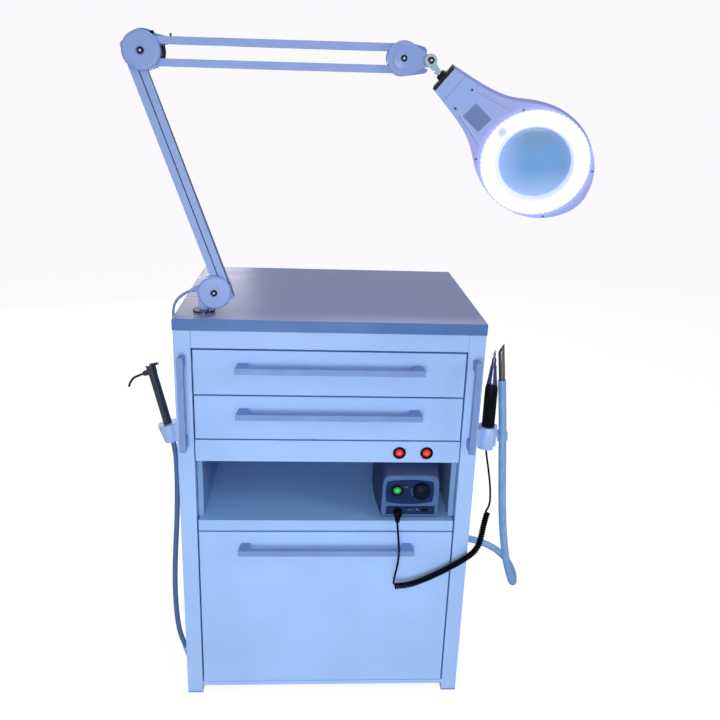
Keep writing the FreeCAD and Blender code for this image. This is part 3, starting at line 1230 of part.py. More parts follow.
def head_outline(inset=0.0):
    """The head seen face on: a straight-sided neck that flares into an egg round the lens."""
    lens = size.neck_long
    wide, tip = size.head_half, size.head_far
    half = [(0, size.neck_half), (39, size.neck_half + 6.5), (74, size.neck_half + 14.5),
            (103, size.neck_half + 26),
            (130, wide * 0.73), (163, wide * 0.915), (lens, wide), (lens + 45, wide * 0.9),
            (lens + tip - 32, wide * 0.69), (lens + tip - 9, wide * 0.36)]
    points = [Vector(x, y, 0) for x, y in half] + [Vector(lens + tip, 0, 0)]
    points += [Vector(x, -y, 0) for x, y in reversed(half)]
    curve = Part.BSplineCurve()
    curve.interpolate(points)
    if inset:
        moved = []
        for point in points:
            along_edge = curve.tangent(curve.parameter(point))[0]
            moved.append(point + along_edge.cross(Vector(0, 0, 1)) * inset)
        moved[0].x = moved[-1].x = inset
        points = moved
        curve = Part.BSplineCurve()
        curve.interpolate(points)
    return Part.Wire([curve.toShape(), Part.makeLine(points[-1], points[0])])


outline = head_outline()
inner_outline = head_outline(size.shell_wall)
half_thick = size.head_thick / 2
lens_at = size.neck_long


def round_at_lens(radius, low, high):
    return Part.makeCylinder(radius, high - low, Vector(lens_at, 0, low))


def shell(low, high, room_low, room_high):
    """One half of the head's casing: the outline's prism, hollowed from its open side."""
    outer = Part.Face(outline).extrude(Vector(0, 0, high - low))
    outer.translate(Vector(0, 0, low))
    room = Part.Face(inner_outline).extrude(Vector(0, 0, room_high - room_low))
    room.translate(Vector(0, 0, room_low))
    return outer.cut(room)


# Front casing, with a wall round the lens and an opening for the ring light.
wall = size.shell_wall
front_shell = shell(0, half_thick, -1, half_thick - wall)
front_shell = front_shell.cut(round_at_lens(size.led_outer, -1, half_thick + 1))
rear_shell = shell(-half_thick, -0.05, -half_thick + wall, 1)
rear_shell = rear_shell.cut(round_at_lens(size.lens_radius + size.lens_rim, -half_thick - 1, 1))
lens_tube = round_at_lens(size.lens_radius + size.lens_rim + wall, -half_thick + wall, -0.05).cut(
    round_at_lens(size.lens_radius + size.lens_rim, -half_thick, 1))
rear_shell = rear_shell.fuse(lens_tube)
stem_bore = Part.makeCylinder(size.stem_radius + size.running_gap, 40, Vector(-20, 0, 0), Vector(1, 0, 0))
front_shell = front_shell.cut(stem_bore)
rear_shell = rear_shell.cut(stem_bore)
rear_casing = solid("head_rear_casing", rear_shell, head_spot)

# The ring light: a white diffuser that fills the opening round the lens and stands on the inner wall.
light_low = 0.2
ring_light = round_at_lens(size.led_outer - 0.3, half_thick - 3, half_thick).fuse(
    round_at_lens(size.lens_radius + size.lens_rim + wall, light_low, half_thick)).cut(
    round_at_lens(size.lens_radius + size.lens_rim, -5, half_thick + 1))
node("lamp_ring_light", solid("ring_diffuser", ring_light, head_spot))

# The magnifying lens sits in a narrow rim.
rim = round_at_lens(size.lens_radius + size.lens_rim - 0.05, 0, half_thick + 1.2).cut(
    round_at_lens(size.lens_radius, -5, half_thick + 5))
rim = solid("lens_rim_ring", rim, head_spot)
curve_radius = (size.lens_radius**2 + size.lens_crown**2) / (2 * size.lens_crown)
mid = half_thick - 4
above = Part.makeSphere(curve_radius, Vector(lens_at, 0, mid + size.lens_crown + 1 - curve_radius))
below = Part.makeSphere(curve_radius, Vector(lens_at, 0, mid - size.lens_crown - 1 + curve_radius))
lens = round_at_lens(size.lens_radius - 0.05, mid - 10, mid + 10).common(above).common(below)
node("lamp_lens", solid("lens_glass", lens, head_spot), rim)

# A dust cover behind the lens swings on a small hinge at the neck's side.
lid_z = -half_thick - 0.4
lid = round_at_lens(size.lid_radius, lid_z - size.cover_plate_thick, lid_z)
hinge_x = lens_at - size.lid_radius - 5
lid = lid.fuse(Part.makeBox(16, 24, size.cover_plate_thick,
                            Vector(hinge_x, -12, lid_z - size.cover_plate_thick)))
lid = lid.fuse(Part.makeCylinder(3, 24, Vector(hinge_x, -12, lid_z - 3), Vector(0, 1, 0)))
lid = lid.cut(Part.makeCylinder(1.5 + size.running_gap, 80, Vector(hinge_x, -40, lid_z - 3), Vector(0, 1, 0)))
node("lamp_lens_cover", solid("lens_cover_disc", lid, head_spot))
ears = None
for side in (-1, 1):
    low = 12.3 if side > 0 else -17.3
    ear = Part.makeBox(8, 5, 6, Vector(hinge_x - 4, low, -half_thick - 6)).fuse(
        Part.makeCylinder(1.5, 12, Vector(hinge_x, low - (6 if side > 0 else 1), lid_z - 3), Vector(0, 1, 0)))
    ears = ear if ears is None else ears.fuse(ear)
hinge = ears.common(Part.makeBox(40, 80, 20, Vector(hinge_x - 20, -40, -half_thick - 20)))
node("lamp_head_rear_shell", rear_casing, solid("cover_hinge", hinge, head_spot))

# The neck ends in a black cap with a cone that boots the stem, and screws hold the casings together.
cap = Part.makeBox(size.cap_thick, size.neck_half * 2 - 1, size.head_thick - 1,
                   Vector(-size.cap_thick, -size.neck_half + 0.5, -half_thick + 0.5))
boot = Part.makeCone(10.3, 7.5, 7, Vector(-size.cap_thick, 0, 0), Vector(-1, 0, 0))
cap = cap.fuse(boot).cut(Part.makeCylinder(size.stem_radius + size.running_gap, 60, Vector(-40, 0, 0),
                                           Vector(1, 0, 0)))
node("lamp_neck_cap", solid("neck_cap_body", cap, head_spot))
SCREW_SPOTS = ((44, 19.5), (44, -21), (129, 52), (129, -60), (287, 56), (287, -56))
screws = [solid(f"head_screw_{i}", Part.makeCylinder(2.6, 1, Vector(x, y, half_thick)), head_spot)
          for i, (x, y) in enumerate(SCREW_SPOTS)]
node("lamp_head_front_shell", solid("head_front_casing", front_shell, head_spot), *screws)


# --- check and write ---------------------------------------------------------------------------------

doc.recompute()
for thing in doc.Objects:
    if "Invalid" in thing.State or "Error" in thing.State:
        raise RuntimeError(f"{thing.Name} failed: {thing.State}")
os.makedirs("parts", exist_ok=True)
for part in nodes:
    shape = part.Shape
    if shape.isNull() or not shape.isValid() or not shape.Solids:
        raise RuntimeError(f"{part.Label} has no sound shape")
    shape.exportStep(f"parts/{part.Label}.step")
print(f"{len(nodes)} sub-parts, {sum(len(part.Shape.Solids) for part in nodes)} solids")
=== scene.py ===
from math import atan2, cos, pi, radians, sin

import bmesh
import bpy
from mathutils import Matrix, Vector


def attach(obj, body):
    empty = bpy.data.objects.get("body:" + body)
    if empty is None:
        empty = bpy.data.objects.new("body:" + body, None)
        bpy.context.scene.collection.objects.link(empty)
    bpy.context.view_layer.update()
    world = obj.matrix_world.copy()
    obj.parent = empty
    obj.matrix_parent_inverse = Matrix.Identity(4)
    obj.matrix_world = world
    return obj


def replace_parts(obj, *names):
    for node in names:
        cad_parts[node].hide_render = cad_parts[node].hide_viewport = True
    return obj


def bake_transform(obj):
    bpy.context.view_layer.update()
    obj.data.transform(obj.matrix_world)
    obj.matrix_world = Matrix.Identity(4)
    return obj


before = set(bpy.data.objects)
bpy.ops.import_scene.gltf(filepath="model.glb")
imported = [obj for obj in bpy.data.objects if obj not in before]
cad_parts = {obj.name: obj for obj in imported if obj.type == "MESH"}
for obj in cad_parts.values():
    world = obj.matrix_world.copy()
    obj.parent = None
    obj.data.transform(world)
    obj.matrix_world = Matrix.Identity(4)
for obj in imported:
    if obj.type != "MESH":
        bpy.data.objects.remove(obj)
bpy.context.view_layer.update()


# --- welded frame ------------------------------------------------------------------------------------
# The carcass is a cage of 30 mm square steel tube, welded at the corners and powder coated in a pale
# cool white. It stands on four thin grey glides.

class Signal:
    """A socket of the shader that Python's own arithmetic works on."""

    def __init__(self, finish, socket):
        self.finish, self.socket = finish, socket

    def math(self, operation, *values):
        return self.finish.node("ShaderNodeMath", values, operation=operation)

    def __add__(self, other):
        return self.math("ADD", self, other)

    def __sub__(self, other):
        return self.math("SUBTRACT", self, other)

    def __rsub__(self, other):
        return self.math("SUBTRACT", other, self)

    def __mul__(self, other):
        return self.math("MULTIPLY", self, other)

    def __abs__(self):
        return self.math("ABSOLUTE", self)

    def __pow__(self, other):
        return self.math("POWER", self, other)

    __radd__, __rmul__ = __add__, __mul__

    def sine(self):
        return self.math("SINE", self)

    def angle(self, other):
        """The angle whose tangent is this value over another one."""
        return self.math("ARCTAN2", self, other)

    def within(self, low, high):
        """How far the value has come from low to high, as 0 to 1 with eased ends."""
        return self.finish.node("ShaderNodeMapRange", {"Value": self, "From Min": low, "From Max": high},
                                interpolation_type="SMOOTHSTEP")


class Finish:
    """One material, built node by node."""

    def __init__(self, name):
        self.material = bpy.data.materials.new(name)
        self.material.use_nodes = True
        self.tree = self.material.node_tree
        self.tree.nodes.clear()

    def node(self, kind, values=(), out=0, **settings):
        """Adds a node, sets it up, fills its sockets with numbers or signals and gives one of its outputs."""
        made = self.tree.nodes.new(kind)
        for setting, value in settings.items():
            setattr(made, setting, value)
        for place, value in values.items() if isinstance(values, dict) else enumerate(values):
            if isinstance(value, Signal):
                self.tree.links.new(value.socket, made.inputs[place])
            else:
                made.inputs[place].default_value = value
        return Signal(self, made.outputs[out]) if made.outputs else None

    def here(self, stretch=None, turn=(0, 0, 0)):
        """The point on the piece, stretched and turned where a pattern has a direction."""
        spot = self.node("ShaderNodeTexCoord", out="Object")
        if stretch is None:
            return spot
        return self.node("ShaderNodeMapping", {"Vector": spot, "Scale": stretch, "Rotation": turn})

    def offset(self, point):
        """The point on the piece, measured from a given one."""
        return self.node("ShaderNodeVectorMath", (self.here(), tuple(point)), operation="SUBTRACT")

    def noise(self, scale, detail=2.0, where=None):
        """Cloudy variation between 0 and 1, with a number of cells to the metre."""
        return self.node("ShaderNodeTexNoise", {"Vector": where or self.here(), "Scale": scale, "Detail": detail})

    def mixed(self, share, first, second):
        """One colour turned into another by a share."""
        return self.node("ShaderNodeMix", {0: share, 6: first, 7: second}, out=2, data_type="RGBA")

    def split(self, vector):
        """The three numbers of a vector."""
        parts = self.node("ShaderNodeSeparateXYZ", (vector,))
        return [Signal(self, socket) for socket in parts.socket.node.outputs]

    def bump(self, height, distance):
        """The surface's direction under fine relief of the given depth."""
        return self.node("ShaderNodeBump", {"Height": height, "Distance": distance, "Strength": 1.0})

    def surface(self, **values):
        """Ends the material in one principled surface. An underscore in a name stands for a space."""
        named = {name.replace("_", " "): value for name, value in values.items()}
        shader = self.node("ShaderNodeBsdfPrincipled", named)
        self.node("ShaderNodeOutputMaterial", {"Surface": shader})
        return self.material


def colour(red, green, blue):
    """A screen colour, 0 to 255, as the linear colour that a shader takes."""
    return (*(((c / 255 + 0.055) / 1.055) ** 2.4 if c > 10 else c / 3295 for c in (red, green, blue)), 1.0)


def shade(tint, share):
    """A colour made darker or lighter by a share."""
    return (*(c * share for c in tint[:3]), 1.0)


def coated(name, tint, roughness=0.38, peel=0.00002, grain=900.0, cloud=0.03, shine=0.3):
    """Baked powder paint: a fine orange peel, a faint cloudiness and dust that dulls it in places."""
    coat = Finish(name)
    cloudy = coat.noise(7.0, 4.0)
    dusty = coat.noise(38.0, 5.0)
    return coat.surface(
        Base_Color=coat.mixed(cloudy.within(0.35, 0.7), tint, shade(tint, 1 - cloud * 2)),
        Roughness=dusty * 0.12 + (roughness - 0.06),
        Specular_IOR_Level=shine, Coat_Weight=shine / 3, Coat_Roughness=0.22,
        Normal=coat.bump(coat.noise(grain, 1.0), peel))


def dress(material, *names):
    """Puts a finish on CAD nodes."""
    for name in names:
        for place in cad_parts[name].material_slots:
            place.material = material


CREASE = radians(40)


def soften(width, *names, segments=2):
    """Rounds the edges of CAD nodes, as paint, moulding or sanding leaves them."""
    for name in names:
        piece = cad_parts[name]
        piece.modifiers.new("weld", "WELD").merge_threshold = 0.00001
        flats = piece.modifiers.new("flats", "DECIMATE")
        flats.decimate_type, flats.angle_limit = "DISSOLVE", radians(0.6)
        edges = piece.modifiers.new("edges", "BEVEL")
        edges.width, edges.segments, edges.harden_normals = width, segments, True
        edges.limit_method, edges.angle_limit = "ANGLE", CREASE


TUBE_CORNER = 0.0016
dress(coated("powder_white", colour(158, 193, 244)), "frame_posts", "frame_rails")
soften(TUBE_CORNER, "frame_posts", "frame_rails")
dress(coated("glide_rubber", colour(120, 146, 190), roughness=0.6), "foot_glides")


# --- panels, shelf and lining ------------------------------------------------------------------------
# Sides, back and bottom are thin coated boards held between the posts. The open bay is lined and has a
# shelf board whose front edge shows.

SHELF_FRONT = -0.214
board_paint = coated("board_white", colour(157, 192, 245), roughness=0.33, grain=1300.0, peel=0.000012)
dress(board_paint, "side_panels", "back_panel", "bottom_panel", "switch_panel")
# The bay's lining is painted darker than the other boards: painted shade for the inside of the bay.
dress(coated("lining_board", colour(116, 156, 204), roughness=0.5, cloud=0.06), "bay_lining")
shelf = Finish("shelf_board")
shelf_edge = shelf.split(shelf.here())[1].within(SHELF_FRONT + 0.0008, SHELF_FRONT + 0.0012)
dress(shelf.surface(
    Base_Color=shelf.mixed(shelf_edge, colour(150, 184, 236), colour(142, 192, 246)),
    Roughness=shelf.noise(40.0, 4.0) * 0.15 + 0.4, Specular_IOR_Level=0.3), "bay_shelf")
soften(0.0006, "side_panels", "back_panel", "bottom_panel", "switch_panel", "bay_lining", "bay_shelf")


# --- worktop -----------------------------------------------------------------------------------------
# A 20 mm particle board under a hard laminate with a fine pearl grain. A bluish plastic band, glued on
# with hot melt, closes its four edges.

laminate = Finish("worktop_laminate")
grain = laminate.noise(420.0, 1.0)
wiped = laminate.noise(5.0, 2.0, laminate.here((1.0, 3.0, 1.0), (0, 0, 0.5)))
across, depth = laminate.split(laminate.here())[:2]
top_tint = laminate.mixed(grain.within(0.4, 0.62), colour(117, 130, 181), colour(121, 134, 185))
# At the left the top is painted darker: a painted shadow of the lamp's base.
top_tint = laminate.mixed((1 - across.within(-0.24, -0.04)) * 0.3, top_tint, colour(90, 100, 146))
# Along the front, more so towards the right, it is painted lighter: a painted sheen of light on the laminate.
laminate_top = laminate.surface(
    Base_Color=laminate.mixed((1 - depth.within(-0.21, -0.15)) * across.within(-0.28, 0.12), top_tint,
                              colour(158, 170, 216)),
    Roughness=wiped * 0.16 + 0.22, Coat_Weight=0.2, Coat_Roughness=0.15)
dress(laminate_top, "worktop_board")
dress(coated("edge_plastic", colour(82, 122, 184), roughness=0.34, cloud=0.08, shine=0.2), "worktop_edge_band")
soften(0.0008, "worktop_edge_band")


# --- drawers -----------------------------------------------------------------------------------------
# Each drawer is a folded tray on steel slides, behind a painted board front. Its bar handle is a flat
# pressing in grey anodised metal with slanted ends, held by two screws from inside.

steel = Finish("slide_steel")
drawn = steel.noise(240.0, 3.0, steel.here((1.0, 0.02, 1.0)))
slide_steel = steel.surface(Base_Color=colour(150, 158, 172), Metallic=1.0, Roughness=drawn * 0.25 + 0.25)


HANDLE_GREY = colour(109, 141, 196)


def anodised(name, along):
    """Brushed and anodised grey metal, its lines running along the part."""
    skin = Finish(name)
    lines = skin.noise(1400.0, 2.0, skin.here(along))
    worn = skin.noise(30.0, 4.0)
    return skin.surface(
        Base_Color=skin.mixed(worn.within(0.35, 0.75), HANDLE_GREY, shade(HANDLE_GREY, 1.12)), Metallic=0.15,
        Roughness=lines * 0.16 + (0.48 - 0.08), Normal=skin.bump(lines, 0.000012))


bar_metal = anodised("handle_bar", (0.02, 1.0, 1.0))
tray_metal = coated("tray_coat", colour(150, 170, 205), roughness=0.4)
for drawer in ("upper", "middle", "deep"):
    dress(board_paint, f"drawer_{drawer}_front")
    dress(tray_metal, f"drawer_{drawer}_tray")
    dress(bar_metal, f"drawer_{drawer}_handle")
    soften(0.0011, f"drawer_{drawer}_front")
    soften(0.0009, f"drawer_{drawer}_handle")
dress(slide_steel, "runner_channels")
dress(anodised("handle_upright", (1.0, 1.0, 0.02)), "post_handles")
soften(0.0009, "post_handles")


# --- switch panel ------------------------------------------------------------------------------------
# Two round rocker switches snap into the panel. Each has a thick black bezel and a red lens that glows a little from
# the lamp inside it, with a painted highlight near its middle.

def moulded(name, tint, roughness=0.35, coat=0.1, pebble=0.00001, grain=1800.0, shine=0.5):
    """Injection-moulded plastic with a fine texture from its mould."""
    plastic = Finish(name)
    texture = plastic.noise(grain, 1.0)
    handled = plastic.noise(22.0, 4.0)
    return plastic.surface(
        Base_Color=plastic.mixed(handled.within(0.3, 0.7), tint, shade(tint, 0.93)),
        Roughness=handled * 0.14 + (roughness - 0.07), Coat_Weight=coat, Coat_Roughness=0.12,
        Specular_IOR_Level=shine, Normal=plastic.bump(texture, pebble))


def glowing(name, tint, hot, middle, pitch, reach):
    """A clear-coloured lens over a small lamp, which glows a little: a pale spot near its middle is a painted
    highlight, and it is deep in colour at its edge.
    """
    lens = Finish(name)
    across, depth, height = lens.split(lens.here())
    aside = abs(across - middle[0]) - pitch / 2
    far = (aside ** 2 + (height - middle[1]) ** 2) ** 0.5
    # The pale spot is a painted highlight, drawn into the glow as well.
    spot = 1 - far.within(0.0, reach)
    shine = lens.mixed(spot * 0.75, lens.mixed(far.within(reach, reach * 1.9), tint, shade(tint, 0.6)), hot)
    return lens.surface(Base_Color=shine, Roughness=0.14, Coat_Weight=0.6, Coat_Roughness=0.06,
                        Emission_Color=shine, Emission_Strength=0.42)


bezel_black = moulded("bezel_black", colour(5, 6, 12), roughness=0.35, shine=0.12)
dress(bezel_black, "switch_housings")
dress(glowing("rocker_red", colour(232, 18, 32), colour(255, 120, 110), (0.15575, 0.5395), 0.0505, 0.0045),
      "switch_rocker_left", "switch_rocker_right")
soften(0.0006, "switch_housings", "switch_rocker_left", "switch_rocker_right", segments=3)


# --- back of the cabinet and glands ------------------------------------------------------------------
# A moulded mains inlet is screwed in at the back. Hoses and the lamp's cord pass the side boards in
# round plastic glands in the colour of the cabinet.

dress(moulded("inlet_black", colour(20, 22, 30), shine=0.2), "mains_inlet")
dress(moulded("gland_plastic", colour(150, 182, 232)), "side_glands")


# --- air and water syringe ---------------------------------------------------------------------------
# A glossy black grip stands in a moulded holder on the left side. Its hose hangs from the holder's
# floor and goes into the side board near the ground.

def hose(name, points, radius, material):
    """A hose or cord as one smooth line through its points, with a round section."""
    curve = bpy.data.curves.new(name, "CURVE")
    curve.dimensions = "3D"
    line = curve.splines.new("NURBS")
    line.points.add(len(points) - 1)
    for place, point in zip(line.points, points):
        place.co = (*point, 1.0)
    line.order_u, line.use_endpoint_u, line.resolution_u = 3, True, 10
    curve.bevel_depth, curve.bevel_resolution, curve.use_fill_caps = radius, 5, True
    curve.materials.append(material)
    piece = bpy.data.objects.new(name, curve)
    bpy.context.scene.collection.objects.link(piece)
    return piece


def supple(name, tint, roughness=0.42, shine=0.4):
    """Soft extruded PVC, a little waxy, with faint marks from handling."""
    skin = Finish(name)
    marks = skin.noise(60.0, 4.0)
    return skin.surface(
        Base_Color=skin.mixed(marks.within(0.35, 0.7), tint, shade(tint, 0.86)),
        Roughness=marks * 0.2 + (roughness - 0.1), Specular_IOR_Level=shine,
        Normal=skin.bump(skin.noise(700.0, 2.0), 0.00001))


holder_white = moulded("holder_white", colour(160, 190, 238), roughness=0.3)
syringe_black = moulded("syringe_black", colour(12, 26, 50), roughness=0.2, coat=0.9, shine=0.7)
nozzle = Finish("nozzle_metal")
dress(nozzle.surface(Base_Color=colour(66, 68, 80), Metallic=1.0,
                     Roughness=nozzle.noise(300.0, 2.0) * 0.2 + 0.18), "syringe_nozzle")
dress(holder_white, "syringe_holder")
dress(syringe_black, "syringe_body", "syringe_lever")
soften(0.0012, "syringe_holder")
SYRINGE_HOSE = [
    (-0.2948, -0.15, 0.5389), (-0.2893, -0.15, 0.513), (-0.2882, -0.151, 0.471), (-0.2893, -0.1525, 0.419),
    (-0.292, -0.155, 0.362), (-0.2968, -0.1576, 0.3), (-0.3, -0.1602, 0.243), (-0.3006, -0.1625, 0.188),
    (-0.2984, -0.1642, 0.139), (-0.293, -0.1654, 0.101), (-0.2835, -0.166, 0.075),
]
# The syringe's hose is a darker copy of the suction hose's grey: painted shade, where it hangs behind the post.
syringe_hose = hose("syringe_hose_line", SYRINGE_HOSE, 0.005, supple("hose_grey_shaded", colour(78, 106, 154)))
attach(syringe_hose, "cabinet")
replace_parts(syringe_hose, "syringe_hose")


# --- handpiece and suction ---------------------------------------------------------------------------
# The motor handpiece stands in a cup on the right side. A cradle behind it holds the suction hose with
# its steel cannula; the hose swings back in one loop and goes into the side board.

def turned(profile, place, steps=48):
    """A closed profile, as pairs of radius and height, spun round the axis of a place."""
    shape = bmesh.new()
    chain = [shape.verts.new((radius, 0, height)) for radius, height in profile]
    edges = [shape.edges.new(pair) for pair in zip(chain, chain[1:])]
    bmesh.ops.spin(shape, geom=chain + edges, cent=(0, 0, 0), axis=(0, 0, 1), angle=2 * pi, steps=steps,
                   use_merge=True)
    bmesh.ops.remove_doubles(shape, verts=shape.verts, dist=0.000001)
    bmesh.ops.recalc_face_normals(shape, faces=shape.faces)
    bmesh.ops.transform(shape, matrix=place, verts=shape.verts)
    return shape


def finished(name, body, material, shape, width=0.0):
    """Makes a piece from a shape, gives it a finish and a body, and eases its edges."""
    mesh = bpy.data.meshes.new(name)
    shape.to_mesh(mesh)
    shape.free()
    mesh.materials.append(material)
    piece = bpy.data.objects.new(name, mesh)
    bpy.context.scene.collection.objects.link(piece)
    if width:
        edges = piece.modifiers.new("edges", "BEVEL")
        edges.width, edges.segments, edges.limit_method = width, 2, "ANGLE"
    mesh.shade_smooth()
    mesh.set_sharp_from_angle(angle=CREASE)
    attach(piece, body)
    return piece


HANDPIECE = Vector((0.307, -0.15, 0.525))
FLUTES = 36
handpiece_place = Matrix.Translation(HANDPIECE)
grip_skin = Finish("handpiece_grip")
east, south, height = grip_skin.split(grip_skin.offset(HANDPIECE))
flutes = ((south.angle(east) * FLUTES).sine() * height.within(0.03, 0.034)
          * (1 - height.within(0.105, 0.109)))
grip_black = grip_skin.surface(
    Base_Color=grip_skin.mixed(grip_skin.noise(40.0, 4.0), colour(4, 5, 14), colour(8, 9, 20)),
    Roughness=0.5, Specular_IOR_Level=0.1, Normal=grip_skin.bump(flutes, 0.0003))
nose_metal = Finish("nose_steel")
nose_steel = nose_metal.surface(
    Base_Color=nose_metal.mixed(nose_metal.noise(60.0, 3.0), colour(84, 88, 124), colour(112, 118, 156)),
    Metallic=1.0, Roughness=nose_metal.noise(900.0, 2.0, nose_metal.here((1.0, 1.0, 0.02))) * 0.2 + 0.12)
grip = turned([(0, 0.001), (0.003, 0.001), (0.0044, 0.0064), (0.0108, 0.0064), (0.0122, 0.008), (0.0122, 0.118),
               (0.0117, 0.123), (0.0104, 0.1275), (0.0098, 0.131), (0, 0.131)], handpiece_place)
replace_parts(finished("handpiece_grip", "cabinet", grip_black, grip), "handpiece")
nose = turned([(0, 0.13), (0.0097, 0.13), (0.0099, 0.1325), (0.0092, 0.136), (0.0078, 0.146), (0.0064, 0.158),
               (0.0059, 0.1625), (0.0059, 0.166), (0.0045, 0.167), (0.0042, 0.172), (0.0043, 0.178),
               (0.0034, 0.1815), (0.0019, 0.1825), (0.0018, 0.1865), (0.0026, 0.187), (0.0026, 0.1905),
               (0.002, 0.1915), (0.0011, 0.192), (0.0011, 0.1965), (0, 0.1968)], handpiece_place)
finished("handpiece_nose", "cabinet", nose_steel, nose)
dress(holder_white, "handpiece_holder")
soften(0.0012, "handpiece_holder")
cannula = Finish("cannula_metal")
streaks = cannula.noise(260.0, 3.0, cannula.here((1.0, 1.0, 0.03)))
dress(cannula.surface(
    Base_Color=cannula.mixed(streaks.within(0.35, 0.65), colour(112, 110, 102), colour(184, 180, 168)),
    Metallic=1.0, Roughness=streaks * 0.2 + 0.12), "suction_cannula")
SUCTION_HOSE = [
    (0.3257, -0.15, 0.6627), (0.3316, -0.15, 0.61), (0.3376, -0.1503, 0.545), (0.345, -0.1508, 0.457),
    (0.3528, -0.151, 0.374), (0.362, -0.1502, 0.313), (0.3725, -0.147, 0.264), (0.3855, -0.138, 0.224),
    (0.3985, -0.119, 0.194), (0.409, -0.093, 0.1795), (0.4155, -0.0625, 0.18), (0.4095, -0.0355, 0.192),
    (0.39, -0.017, 0.2075), (0.362, -0.0125, 0.222), (0.335, -0.011, 0.2315), (0.312, -0.011, 0.2355),
    (0.29, -0.011, 0.237),
]
suction_hose = hose("suction_hose_line", SUCTION_HOSE, 0.0075, supple("hose_grey", colour(124, 166, 218)))
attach(suction_hose, "cabinet")
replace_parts(suction_hose, "suction_hose")


# --- control unit ------------------------------------------------------------------------------------
# The micromotor's control unit is a hooded grey moulding with two dark blue facing plates. It has a
# green rocker, a black speed dial, a slide switch and the socket for the handpiece's plug.

def block(shape, place, wide, deep, tall):
    """Adds a plain box to a shape, for a small part whose edges are eased afterwards."""
    bmesh.ops.create_cube(shape, size=1.0, matrix=place @ Matrix.Diagonal((wide, deep, tall, 1)))


def rounded(shape, edges, offset, segments):
    """Rounds the given edges of a shape."""
    bmesh.ops.bevel(shape, geom=edges, offset=offset, segments=segments, profile=0.5, affect="EDGES", material=-1)


UNIT_MID, UNIT_FRONT, SHELF = 0.1575, -0.206, 0.398
# The hood's sections, as how far each lies behind the front, its half width and its height.
HOOD = [(0.0, 0.0555, 0.088), (0.028, 0.0583, 0.111), (0.0735, 0.0633, 0.115), (0.14, 0.0633, 0.112),
        (0.175, 0.0588, 0.093)]
HOOD_DEEP, HOOD_CLEAR = 0.175, 0.004
unit_skin = Finish("unit_plastic")
# Behind its front face the hood is painted much darker: partly its own dark blue-grey and partly painted shade from
# the bay over it.
shaded_behind_front = unit_skin.split(unit_skin.here())[1].within(UNIT_FRONT, UNIT_FRONT + 0.0035)
worn = unit_skin.noise(24.0, 4.0)
unit_grey = unit_skin.surface(
    Base_Color=unit_skin.mixed(shaded_behind_front, unit_skin.mixed(worn, colour(72, 102, 154), colour(66, 95, 146)),
                               unit_skin.mixed(worn, colour(36, 55, 96), colour(32, 49, 88))),
    Roughness=worn * 0.1 + 0.42, Specular_IOR_Level=0.3,
    Normal=unit_skin.bump(unit_skin.noise(1600.0, 1.0), 0.00002))
hood = bmesh.new()
bmesh.ops.create_cube(hood, size=1.0)
bmesh.ops.subdivide_edges(
    hood, edges=[edge for edge in hood.edges if abs(edge.verts[0].co.y - edge.verts[1].co.y) > 0.5], cuts=3)
for corner in hood.verts:
    depth, half, tall = HOOD[round((corner.co.y + 0.5) * 4)]
    narrow = 0.0015 if corner.co.z > 0 else 0.0
    corner.co = (UNIT_MID + corner.co.x * 2 * (half - narrow), UNIT_FRONT + depth,
                 SHELF + (tall if corner.co.z > 0 else HOOD_CLEAR))
shoulders = [edge for edge in hood.edges
             if min(vert.co.z for vert in edge.verts) > SHELF + 0.05
             and abs(edge.verts[0].co.y - edge.verts[1].co.y) > 0.01]
rounded(hood, shoulders, 0.0125, 4)
skirts = [edge for edge in hood.edges
          if max(vert.co.z for vert in edge.verts) < SHELF + HOOD_CLEAR + 0.0001
          and abs(edge.verts[0].co.x - edge.verts[1].co.x) < 0.02]
rounded(hood, skirts, 0.004, 3)
rims = [edge for edge in hood.edges
        if all(vert.co.y < UNIT_FRONT + 0.0001 for vert in edge.verts)
        or all(vert.co.y > UNIT_FRONT + HOOD_DEEP - 0.0001 for vert in edge.verts)]
rounded(hood, rims, 0.0028, 3)
unit_hood = finished("unit_hood", "cabinet", unit_grey, hood)
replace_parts(unit_hood, "unit_case")
rounding = unit_hood.modifiers.new("rounding", "SUBSURF")
rounding.levels = rounding.render_levels = 1
plinth = bmesh.new()
block(plinth, Matrix.Translation((UNIT_MID, UNIT_FRONT + HOOD_DEEP / 2, SHELF + 0.0045)), 0.098, 0.164, 0.0064)
finished("unit_plinth", "cabinet", moulded("plinth_grey", colour(60, 76, 124)), plinth, 0.0015)
feet = bmesh.new()
for east in (-0.0435, 0.0435):
    for depth in (0.014, 0.161):
        bmesh.ops.create_cone(
            feet, cap_ends=True, segments=24, radius1=0.0055, radius2=0.006, depth=0.002,
            matrix=Matrix.Translation((UNIT_MID + east, UNIT_FRONT + depth, SHELF + 0.001)))
finished("unit_feet", "cabinet", bezel_black, feet, 0.0003)

# A black well closes the slot of the slide switch from behind.
POWER, DIAL, SLIDE = (0.1313, 0.459), (0.1772, 0.459), (0.186, 0.4175)
well = bmesh.new()
block(well, Matrix.Translation((SLIDE[0], UNIT_FRONT - 0.0003, SLIDE[1])), 0.0126, 0.0004, 0.0052)
finished("unit_slide_well", "cabinet", bezel_black, well, 0.0001)

